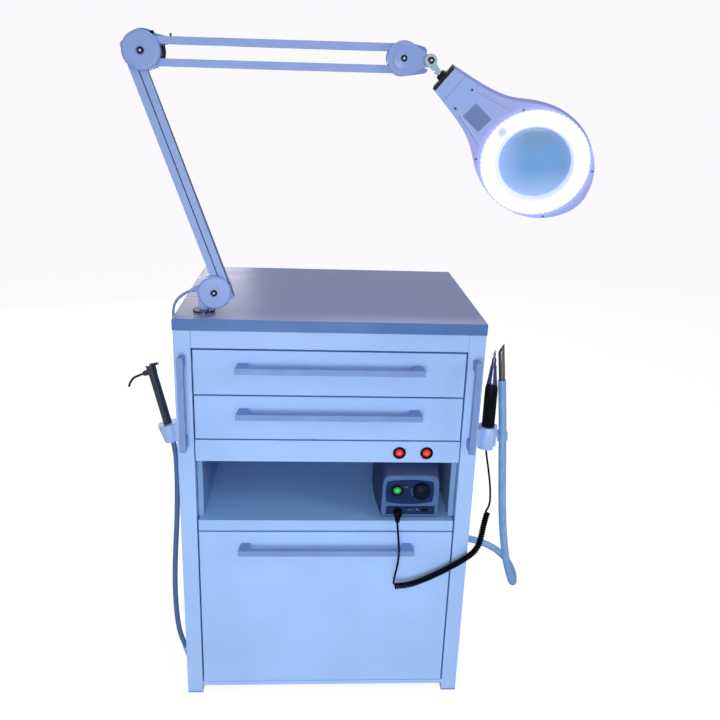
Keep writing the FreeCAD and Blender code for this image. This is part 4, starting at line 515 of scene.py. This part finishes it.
# The facing plates carry printed marks: a short scale round the dial, and dots under it, under the pilot
# lamp and beside the slide switch. Each dot is given by its place and its radius.
DIAL_TICKS, TICK_RING = 44, 0.0187
DOTS = [
    (0.1692, 0.4415, 0.0009), (0.1872, 0.4415, 0.0009), (0.1463, 0.4662, 0.0006), (0.1497, 0.4662, 0.0006),
    (0.166, 0.4418, 0.0004), (0.1905, 0.4418, 0.0004), (0.152, 0.4175, 0.0005), (0.1555, 0.4175, 0.0005),
    (0.159, 0.4175, 0.0005), (0.1625, 0.4175, 0.0005), (0.1705, 0.4185, 0.0009), (0.1748, 0.4165, 0.0006),
]
facing = Finish("fascia_blue")
print_x, print_z = facing.split(facing.here())[::2]
dial_east, dial_up = print_x - DIAL[0], print_z - DIAL[1]
dial_far = (dial_east ** 2 + dial_up ** 2) ** 0.5
dial_turn = dial_up.angle(dial_east * -1)
marks = ((1 - abs(dial_far - TICK_RING).within(0.0006, 0.001)) * (dial_turn * DIAL_TICKS).sine().within(0.0, 0.3)
         * (1 - abs(dial_turn + 0.18).within(0.42, 0.5))) * 0.5
for x, z, size in DOTS:
    gap = ((print_x - x) ** 2 + (print_z - z) ** 2) ** 0.5
    marks = marks + (1 - gap.within(size * 0.7, size * 1.3))
window = ((1 - abs(print_x - SLIDE[0]).within(0.0066, 0.007))
          * (1 - abs(print_z - SLIDE[1]).within(0.0033, 0.0037)))
blue = facing.mixed(facing.noise(900.0, 1.0), colour(3, 36, 78), colour(5, 41, 85))
dress(facing.surface(
    Base_Color=facing.mixed(marks, facing.mixed(window, blue, colour(4, 5, 10)), colour(190, 205, 240)),
    Roughness=0.42, Specular_IOR_Level=0.18, Coat_Weight=0.05, Coat_Roughness=0.2), "unit_fascia")
soften(0.0004, "unit_fascia")
dress(glowing("rocker_green", colour(14, 170, 74), colour(90, 235, 150), POWER, 0.0, 0.003), "unit_power_rocker")
dress(moulded("dial_black", colour(10, 18, 40), roughness=0.42, coat=0.0, shine=0.08), "unit_speed_dial")
dress(bezel_black, "unit_slide_switch")
COLLAR = [(0.0079, 0), (0.0122, 0), (0.0122, 0.0022), (0.0112, 0.003), (0.0086, 0.0026), (0.0079, 0.0016), (0.0079, 0)]
collar_place = Matrix.Translation((POWER[0], -0.2072, POWER[1])) @ Matrix.Rotation(radians(90), 4, "X")
finished("unit_switch_collar", "cabinet", bezel_black, turned(COLLAR, collar_place))
pilot = bmesh.new()
block(pilot, Matrix.Translation((0.148, -0.2074, 0.4712)), 0.0054, 0.0012, 0.0058)
finished("unit_pilot_lamp", "cabinet", moulded("pilot_red", colour(26, 8, 18), roughness=0.2, coat=0.3),
         pilot, 0.0003)

# The motor's lead is straight from the plug over the deep drawer's front, curly across it, and straight
# again up into the handpiece. It is one round black cable all the way.

def centre_line(points):
    """The points of the smooth line through a route."""
    bare = hose("bare_line", points, 0.0, lead_black)
    line = bpy.data.meshes.new_from_object(bare)
    places = [vertex.co.copy() for vertex in line.vertices]
    bpy.data.objects.remove(bare)
    return places


def evenly(places, step):
    """Points at an even step along a line."""
    spaced, left = [places[0]], step
    for start, end in zip(places, places[1:]):
        span = (end - start).length
        while span >= left:
            start = start.lerp(end, left / span)
            spaced.append(start)
            span, left = (end - start).length, step
        left -= span
    return spaced


def coiled(places, radius, pitch, per_turn):
    """Points of a helix wound round a line, at its full radius from end to end."""
    spaced = evenly(places, pitch / per_turn)
    side = Vector((0, 0, 1))
    wound = []
    for i, (before, here, after) in enumerate(zip(spaced, spaced[1:], spaced[2:])):
        way = (after - before).normalized()
        side = (side - way * side.dot(way)).normalized()
        angle = 2 * pi * i / per_turn
        wound.append(here + side * radius * cos(angle) + way.cross(side) * radius * sin(angle))
    return wound


lead_black = supple("lead_black", colour(2, 2, 7), roughness=0.36, shine=0.08)
dress(lead_black, "handpiece_plug")
LEAD_LOW = [
    (0.1328, -0.2225, 0.3985), (0.1336, -0.2285, 0.386), (0.1348, -0.2385, 0.3725), (0.1356, -0.2485, 0.358),
    (0.135, -0.2533, 0.341), (0.1334, -0.2536, 0.324), (0.1312, -0.2512, 0.3085), (0.1294, -0.2474, 0.291),
    (0.1288, -0.2448, 0.2788), (0.1318, -0.2425, 0.2705),
]
COIL = [
    (0.1318, -0.2415, 0.2716), (0.1454, -0.24, 0.2713), (0.1635, -0.2364, 0.2716), (0.1897, -0.2335, 0.281),
    (0.2138, -0.232, 0.2926), (0.2377, -0.231, 0.3062), (0.2612, -0.2305, 0.3215), (0.2795, -0.2285, 0.334),
    (0.2915, -0.224, 0.3475), (0.297, -0.217, 0.3625), (0.301, -0.2095, 0.3805), (0.3055, -0.203, 0.3965),
    (0.3098, -0.198, 0.4077),
]
LEAD_HIGH = [
    (0.3098, -0.198, 0.4077), (0.3141, -0.193, 0.4189), (0.316, -0.185, 0.437), (0.315, -0.175, 0.461),
    (0.3115, -0.165, 0.487), (0.3086, -0.1558, 0.507), (0.3072, -0.1506, 0.5185), (0.307, -0.15, 0.5257),
]
LEAD_RADIUS, COIL_RADIUS, COIL_PITCH, POINTS_A_TURN = 0.002, 0.0045, 0.0044, 12
curls = coiled(centre_line(COIL), COIL_RADIUS, COIL_PITCH, POINTS_A_TURN)
whole_lead = LEAD_LOW[:-1] + curls + LEAD_HIGH[1:]
lead_curve = hose("lead_curve", whole_lead, LEAD_RADIUS, lead_black)
lead_curve.data.splines[0].resolution_u = 2
lead_curve.data.bevel_resolution = 2
lead = bpy.data.objects.new("handpiece_lead_line", bpy.data.meshes.new_from_object(lead_curve))
bpy.context.scene.collection.objects.link(lead)
lead_curve.data.bevel_depth = 0.0
lead_path = [vertex.co.copy() for vertex in bpy.data.meshes.new_from_object(lead_curve).vertices]
bpy.data.objects.remove(lead_curve)
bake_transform(lead)
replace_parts(lead, "handpiece_lead", "handpiece_coil")


# --- magnifier lamp: base and arms -------------------------------------------------------------------
# The lamp turns in a chromed flange on the worktop. Its arms are pairs of painted steel bars between
# moulded pivot covers, with the balance springs inside the bars.

lamp_cover = moulded("lamp_cover", colour(144, 168, 229), roughness=0.3, coat=0.15, shine=0.25)


def bar_paint(name, way, gap, edge):
    """Satin paint on a pair of bars, with painted shade along the gap and along the edge that lie so far that way."""
    paint = Finish(name)
    east, up = paint.split(paint.here())[::2]
    far = east * way[0] + up * way[1]
    # Painted shade: dark lines along the gap between the bars and along one edge.
    painted_shade = (1 - abs(far - gap).within(0.0007, 0.0013)) + (1 - abs(far - edge).within(0.0005, 0.0011))
    cloudy = paint.noise(9.0, 4.0)
    return paint.surface(
        Base_Color=paint.mixed(painted_shade * 0.8, paint.mixed(cloudy, colour(152, 179, 236), colour(144, 171, 228)),
                               colour(28, 40, 84)),
        Roughness=cloudy * 0.1 + 0.4, Specular_IOR_Level=0.18, Normal=paint.bump(paint.noise(900.0, 1.0), 0.000008))


chrome = Finish("lamp_chrome")
chrome_plate = chrome.surface(
    Base_Color=colour(196, 222, 238), Metallic=0.8, Roughness=chrome.noise(45.0, 3.0) * 0.12 + 0.12)
dress(lamp_cover, "lamp_base", "lamp_elbow", "lamp_wrist")
dress(bar_paint("lower_bar_paint", (0.9434, 0.3318), 0.0949, 0.1084), "lower_arm_front_bar", "lower_arm_rear_bar")
dress(bar_paint("upper_bar_paint", (0.0, 1.0), 1.2284, 1.195), "upper_arm_top_bar", "upper_arm_bottom_bar")
# The flange's chrome is painted dark, for the dark surroundings it would reflect, with lighter patches at random:
# painted reflections.
flange = Finish("chrome_painted_dark")
reflection_patches = flange.noise(60.0, 2.0)
dress(flange.surface(Base_Color=flange.mixed(reflection_patches.within(0.4, 0.6), colour(58, 62, 74), colour(120, 128, 146)),
                     Metallic=1.0, Roughness=reflection_patches * 0.14 + 0.1), "lamp_flange")
dress(chrome_plate, "lamp_fork")
soften(0.0008, "lower_arm_front_bar", "lower_arm_rear_bar", "upper_arm_top_bar", "upper_arm_bottom_bar")

# Every pivot cover is held by a chromed dome nut in a dark washer, and so is the fork's pin.
LAMP_Y, ELBOW_X, ELBOW_Z = -0.1584, -0.3117, 1.218
washer_black = moulded("washer_black", colour(10, 11, 20), roughness=0.4, shine=0.2)
WASHER = [(0, 0.0016), (0.0046, 0.0016), (0.0053, 0.0011), (0.0054, -0.0018), (0, -0.0018)]
NUT = [(0, 0.0036), (0.001, 0.0034), (0.0018, 0.0029), (0.0023, 0.0022), (0.0025, 0.0012), (0, 0.0012)]
BOSS = [(0, 0.0009), (0.0148, 0.0009), (0.0166, 0.0006), (0.018, 0), (0.018, -0.0004), (0, -0.0004)]
PIVOTS = (("base", "lamp_swivel", -0.2061, 0.826, 0.0165), ("elbow", "elbow", ELBOW_X, ELBOW_Z, 0.0165),
          ("wrist", "wrist", 0.1076, 1.2214, 0.0165), ("fork", "fork", 0.1523, 1.2199, 0.014))
for pivot, body, x, z, stand_off in PIVOTS:
    for side, mark in ((-1, "front"), (1, "rear")):
        spot = (Matrix.Translation((x, LAMP_Y + side * stand_off, z))
                @ Matrix.Rotation(radians(-90 * side), 4, "X"))
        finished(f"{pivot}_washer_{mark}", body, washer_black, turned(WASHER, spot, 32))
        finished(f"{pivot}_nut_{mark}", body, chrome_plate, turned(NUT, spot, 32))
        if pivot == "wrist":
            finished(f"wrist_boss_{mark}", body, lamp_cover, turned(BOSS, spot))

# Between the elbow's covers a black curved strip sits where the upper arm starts; it stands partly for the shade in
# that gap.
gap_dark = bmesh.new()
ends = [gap_dark.verts.new((0.029, LAMP_Y + 0.0067, 0)), gap_dark.verts.new((0.0362, LAMP_Y + 0.0067, 0)),
        gap_dark.verts.new((0.0362, LAMP_Y + 0.0084, 0)), gap_dark.verts.new((0.029, LAMP_Y + 0.0084, 0))]
bmesh.ops.rotate(gap_dark, verts=ends, cent=(0, 0, 0), matrix=Matrix.Rotation(radians(24), 3, "Y"))
bmesh.ops.spin(gap_dark, geom=[gap_dark.faces.new(ends)], cent=(0, 0, 0), axis=(0, 1, 0), angle=radians(-40),
               steps=16)
bmesh.ops.recalc_face_normals(gap_dark, faces=gap_dark.faces)
bmesh.ops.translate(gap_dark, verts=gap_dark.verts, vec=(ELBOW_X, 0, ELBOW_Z))
finished("elbow_liner", "elbow", washer_black, gap_dark, 0.0003)

# Two small rubber stops sit on the rear cover of the elbow.
stops = bmesh.new()
for east, low, high, near, deep, wide in ((0.015, 0.0265, 0.0316, 0.0066, 0.01, 0.0062),
                                          (0.044, 0.0195, 0.0285, 0.0095, 0.0145, 0.0028)):
    middle = (ELBOW_X + east, LAMP_Y + (near + deep) / 2, ELBOW_Z + (low + high) / 2)
    block(stops, Matrix.Translation(middle), wide, deep - near, high - low)
finished("elbow_stops", "elbow", washer_black, stops, 0.0007)

LAMP_CORD = [
    (-0.2479, -0.1584, 0.8262), (-0.2545, -0.1576, 0.8234), (-0.2635, -0.155, 0.8175), (-0.2725, -0.151, 0.8095),
    (-0.28, -0.1465, 0.7985), (-0.284, -0.1425, 0.784), (-0.2848, -0.1395, 0.768), (-0.2834, -0.1375, 0.753),
    (-0.2793, -0.1365, 0.74),
]
lamp_cord_curve = hose("lamp_cord_curve", LAMP_CORD, 0.0025, supple("cord_grey", colour(122, 150, 206)))
lamp_cord = bpy.data.objects.new("lamp_cord_line", bpy.data.meshes.new_from_object(lamp_cord_curve))
bpy.context.scene.collection.objects.link(lamp_cord)
bpy.data.objects.remove(lamp_cord_curve)
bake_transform(lamp_cord)
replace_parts(lamp_cord, "lamp_cord")
centre_line(LAMP_CORD)


# --- magnifier lamp: head ----------------------------------------------------------------------------
# Two moulded shells hold a ring of white light emitting diodes under a diffuser, and a 127 mm glass
# lens in its middle. The neck ends in a black cap, and a dust cover closes the lens from behind.

NECK_END = Vector((0.1787, -0.1584, 1.1931))
ALONG = Vector((0.78694, 0.0, -0.61704))
ACROSS = Vector((0.57982, -0.34202, 0.73948))
OUT = Vector((-0.21104, -0.93969, -0.26915))
head_place = Matrix.Translation(NECK_END) @ Matrix((ALONG, ACROSS, OUT)).transposed().to_4x4()
LENS_AT, HALF_THICK, LENS_RADIUS, LIGHT_RADIUS, DIODES = 0.208, 0.011, 0.0635, 0.0882, 64


def from_lens(finish):
    """The point on the head as lengths from the lens: along the neck, across it and out of its face."""
    spot = finish.offset(head_place @ Vector((LENS_AT, 0, 0)))
    return [finish.node("ShaderNodeVectorMath", (spot, tuple(way)), out="Value", operation="DOT_PRODUCT")
            for way in (ALONG, ACROSS, OUT)]


# Two moulded beads run up the neck and flare out towards the ring, each with a pale painted highlight beside it, and a
# thin joint crosses its end. The side walls are painted a darker violet for shade, and round the ring the casing glows
# with painted light.
casing = Finish("head_plastic")
along, across, out = from_lens(casing)
seam = 1 - abs(along + 0.187).within(0.0001, 0.0005)
bead = (abs(across) - 0.0255) * 0.9713 - (along + 0.147) * 0.2379
stretch = (along + 0.154).within(0, 0.006) * (1 - (along + 0.094).within(0, 0.01))
# A pale stroke beside each bead is a painted highlight.
lined = (1 - abs(bead + 0.0012).within(0.0004, 0.002)) * stretch * 0.7
bead = (1 - abs(bead).within(0.0006, 0.0026)) * stretch
far = (along ** 2 + across ** 2) ** 0.5
beads = (across.angle(along) * DIODES).sine() * 0.0005
front = out.within(0.009, 0.0108)
# The casing glows white at the ring's scalloped edge and faintly blue a little further out: painted light from the
# ring.
painted_glow_edge = (1 - (far + beads).within(LIGHT_RADIUS + 0.0008, LIGHT_RADIUS + 0.0046)) * front
halo = (1 - far.within(LIGHT_RADIUS, LIGHT_RADIUS + 0.014)) * front * 0.6
worn = casing.noise(16.0, 4.0)
face = casing.mixed((along + 0.208).within(0.0, 0.13), colour(160, 188, 249), colour(176, 188, 252))
face = casing.mixed(lined, face, colour(192, 206, 252))
# The side walls take a darker, more violet copy of the casing's colour: painted shade. The rear face is paler again.
wall = casing.mixed(worn.within(0.3, 0.7), colour(142, 150, 224), colour(134, 142, 216))
wall = casing.mixed(out.within(-0.0112, -0.0085), colour(158, 182, 246), wall)
head_plastic = casing.surface(
    Base_Color=casing.mixed(seam * 0.55, casing.mixed(out.within(0.006, 0.0105), wall, face),
                            colour(74, 90, 156)),
    Roughness=worn * 0.1 + 0.3, Specular_IOR_Level=0.2, Coat_Weight=0.06, Coat_Roughness=0.1,
    Emission_Color=casing.mixed(painted_glow_edge, casing.mixed(halo, (0, 0, 0, 1), colour(150, 156, 240)), (1, 1, 1, 1)),
    Emission_Strength=0.8, Normal=casing.bump(bead * 0.0014 - seam * 0.0003, 1.0))
dress(head_plastic, "lamp_head_front_shell", "lamp_head_rear_shell")
dress(moulded("cap_black", colour(7, 7, 12), roughness=0.36, shine=0.25, pebble=0.00006, grain=700.0),
      "lamp_neck_cap")
dress(moulded("lid_plastic", colour(136, 158, 222), roughness=0.3), "lamp_lens_cover")

steel_screw = Finish("screw_steel")
# The screws by the ring are painted lighter than those on the neck: painted light from the glow round the ring.
ring_glow_share = from_lens(steel_screw)[0].within(-0.14, -0.1)
screw_steel = steel_screw.surface(
    Base_Color=steel_screw.mixed(ring_glow_share, colour(34, 40, 74), colour(100, 108, 156)), Roughness=0.35)
screw_heads = bmesh.new()
for east, north in ((0.044, 0.0195), (0.044, -0.021), (0.129, 0.052), (0.129, -0.06), (0.287, 0.056),
                    (0.287, -0.056)):
    spot = head_place @ Matrix.Translation((east, north, HALF_THICK + 0.0011)) @ Matrix.Rotation(0.6, 4, "Z")
    bmesh.ops.create_cone(screw_heads, cap_ends=True, segments=20, radius1=0.0022, radius2=0.0018, depth=0.0006,
                          matrix=spot)
    for turn in (0, pi / 2):
        block(screw_heads, spot @ Matrix.Rotation(turn, 4, "Z"), 0.0026, 0.0005, 0.0012)
finished("head_screws", "head", screw_steel, screw_heads)

foil = Finish("plate_foil")
plate_foil = foil.surface(
    Base_Color=foil.mixed(foil.noise(220.0, 3.0), colour(106, 128, 182), colour(120, 142, 196)),
    Roughness=0.36, Metallic=0.2)
plate = bmesh.new()
block(plate, head_place @ Matrix.Translation((0.0816, -0.0082, HALF_THICK)) @ Matrix.Rotation(radians(-3), 4, "Z"),
      0.0372, 0.0305, 0.0005)
finished("head_plate", "head", plate_foil, plate, 0.0001)

# The diffuser is brightest over its diodes, and their spots scallop its outer edge. It is dimmer beside
# the neck, where the wires come in.
ring = Finish("ring_diffuser")
along, across = from_lens(ring)[:2]
far = (along ** 2 + across ** 2) ** 0.5
beads = (across.angle(along) * DIODES).sine() * 0.0006
lit = 1 - (far + beads).within(LIGHT_RADIUS - 0.0034, LIGHT_RADIUS)
dim = (1 - abs(across - 0.002).within(0.002, 0.017)) * (1 - abs(along + 0.0785).within(0.002, 0.014)) * 0.75
line = (1 - abs(far - 0.0669).within(0.0003, 0.0008)) * 0.6
glow = ring.mixed(dim, ring.mixed(lit, colour(226, 230, 255), colour(255, 255, 255)), colour(96, 122, 205))
dress(ring.surface(
    Base_Color=ring.mixed(dim, colour(170, 178, 205), colour(90, 112, 170)), Roughness=0.35,
    Emission_Color=ring.mixed(line, glow, colour(70, 78, 100)), Emission_Strength=1.15), "lamp_ring_light")

# The lens is painted with the cover behind it in its shade, deep blue in the middle and greyer towards the upper
# right. Towards the ring below and at the left it is paler and glows: painted reflections of the light. Near its rim
# it is paler too.
DIAGONAL = 0.7071
glass = Finish("lens_glass")
along, across = from_lens(glass)[:2]
rise = (across - along) * DIAGONAL
far = (along ** 2 + across ** 2) ** 0.5
# Paler, glowing patches at the bottom and the left are painted reflections of the light.
below = 1 - rise.within(-0.06, -0.004)
beside = (-1 * along - across).within(0.012, 0.078)
tint = glass.mixed(below, colour(134, 192, 251), colour(190, 222, 255))
tint = glass.mixed(rise.within(0.014, 0.056), tint, colour(146, 182, 226))
tint = glass.mixed(beside * 0.8, tint, colour(184, 212, 255))
tint = glass.mixed(far.within(0.042, 0.066) * 0.4, tint, colour(178, 206, 250))
clear_glass = glass.surface(
    Base_Color=glass.mixed(glass.noise(14.0, 3.0).within(0.45, 0.8) * 0.2, tint, colour(128, 168, 220)),
    Roughness=0.16, IOR=1.5, Transmission_Weight=0.15, Specular_IOR_Level=0.12,
    Emission_Color=glass.mixed((below + beside) * 0.5, (0, 0, 0, 1), (0.01, 0.04, 0.17, 1)), Emission_Strength=1.0)
lens = bmesh.new()
bmesh.ops.create_uvsphere(lens, u_segments=72, v_segments=36, radius=LENS_RADIUS - 0.0028)
bmesh.ops.scale(lens, vec=(1, 1, 0.06), verts=lens.verts)
bmesh.ops.transform(lens, matrix=head_place @ Matrix.Translation((LENS_AT, 0, HALF_THICK - 0.008)),
                    verts=lens.verts)
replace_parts(finished("magnifier_lens", "head", clear_glass, lens), "lamp_lens")
rim = turned([(0.06, 0.0008), (0.0604, 0.0042), (0.0634, HALF_THICK + 0.0008), (0.0645, HALF_THICK + 0.0015),
              (0.0656, HALF_THICK + 0.0015), (0.0662, HALF_THICK + 0.001), (0.0662, 0.0008),
              (0.06, 0.0008)], head_place @ Matrix.Translation((LENS_AT, 0, 0)), 96)
# The rim's glow is painted light, as from the ring shining through its milky plastic.
milky = Finish("rim_white")
finished("lens_rim", "head", milky.surface(
    Base_Color=colour(206, 216, 248), Roughness=milky.noise(40.0, 2.0) * 0.1 + 0.3,
    Emission_Color=colour(225, 232, 255), Emission_Strength=0.45), rim)


# --- floor, light and camera -------------------------------------------------------------------------
# A pale floor that sweeps up into a backdrop far behind, lit by itself so that it stays even. A broad soft
# light stands low in front with a narrow fill over it, and others hang above, at the right and behind.

studio = Finish("studio_sweep")
pale = studio.surface(
    Base_Color=colour(150, 149, 152), Roughness=0.95, Specular_IOR_Level=0.0,
    Emission_Color=studio.mixed(studio.noise(1.5, 2.0), colour(252, 250, 252), colour(253, 251, 253)),
    Emission_Strength=0.85)
sweep = bmesh.new()
strip = [sweep.verts.new((side * 14, -12, 0)) for side in (-1, 1)]
edge = [sweep.edges.new(strip)]
for step in (Vector((0, 18, 0)), Vector((0, 2, 0.5)), Vector((0, 1, 1.5)), Vector((0, 0.4, 9))):
    drawn = bmesh.ops.extrude_edge_only(sweep, edges=edge)["geom"]
    bmesh.ops.translate(sweep, verts=[part for part in drawn if isinstance(part, bmesh.types.BMVert)], vec=step)
    edge = [part for part in drawn if isinstance(part, bmesh.types.BMEdge)]
bmesh.ops.recalc_face_normals(sweep, faces=sweep.faces)
sweep_mesh = bpy.data.meshes.new("studio_sweep")
sweep.to_mesh(sweep_mesh)
sweep.free()
sweep_mesh.materials.append(pale)
floor = bpy.data.objects.new("studio_sweep", sweep_mesh)
bpy.context.scene.collection.objects.link(floor)
floor.visible_diffuse = floor.visible_glossy = False

world = bpy.data.worlds.new("studio_air")
world.use_nodes = True
air = world.node_tree.nodes["Background"].inputs
air["Color"].default_value, air["Strength"].default_value = colour(250, 250, 255), 0.42
bpy.context.scene.world = world


def softbox(name, at, towards, size, power, spread=180):
    """A square area light that looks at a point. A grid on it can narrow its beam."""
    lamp = bpy.data.lights.new(name, "AREA")
    lamp.energy, lamp.size, lamp.spread = power, size, radians(spread)
    piece = bpy.data.objects.new(name, lamp)
    piece.location = at
    piece.rotation_euler = (Vector(towards) - Vector(at)).to_track_quat("-Z", "Y").to_euler()
    bpy.context.scene.collection.objects.link(piece)


softbox("key_light", (-0.3, -2.9, 0.7), (0, 0, 0.4), 0.9, 30)
softbox("low_fill", (-0.05, -1.7, 0.95), (0, 0, 0.14), 0.5, 0.88, spread=55)
softbox("top_light", (0.3, 0.7, 3.4), (0, 0, 0.7), 2.0, 25)
softbox("side_light", (2.4, -1.4, 1.7), (0, 0, 0.8), 0.8, 14)
softbox("back_light", (-0.9, 2.9, 0.75), (0, 0, 0.55), 1.0, 24)

YAW, PITCH, ROLL = radians(3.74), radians(18.68), radians(2.07)
SENSOR, FOCAL_PIXELS, FRAME_PIXELS = 36.0, 779.24, 720
forward = Vector((sin(YAW) * cos(PITCH), cos(YAW) * cos(PITCH), -sin(PITCH)))
level = Vector((cos(YAW), -sin(YAW), 0))
upright = level.cross(forward)
right = level * cos(ROLL) + upright * sin(ROLL)
up = upright * cos(ROLL) - level * sin(ROLL)
view = bpy.data.cameras.new("studio_camera")
view.sensor_width, view.lens = SENSOR, FOCAL_PIXELS / FRAME_PIXELS * SENSOR
camera = bpy.data.objects.new("studio_camera", view)
camera.matrix_world = (Matrix.Translation((-0.03357, -1.51468, 1.16077))
                       @ Matrix((right, up, -forward)).transposed().to_4x4())
bpy.context.scene.collection.objects.link(camera)
bpy.context.scene.camera = camera
bpy.context.scene.view_settings.view_transform = "Standard"
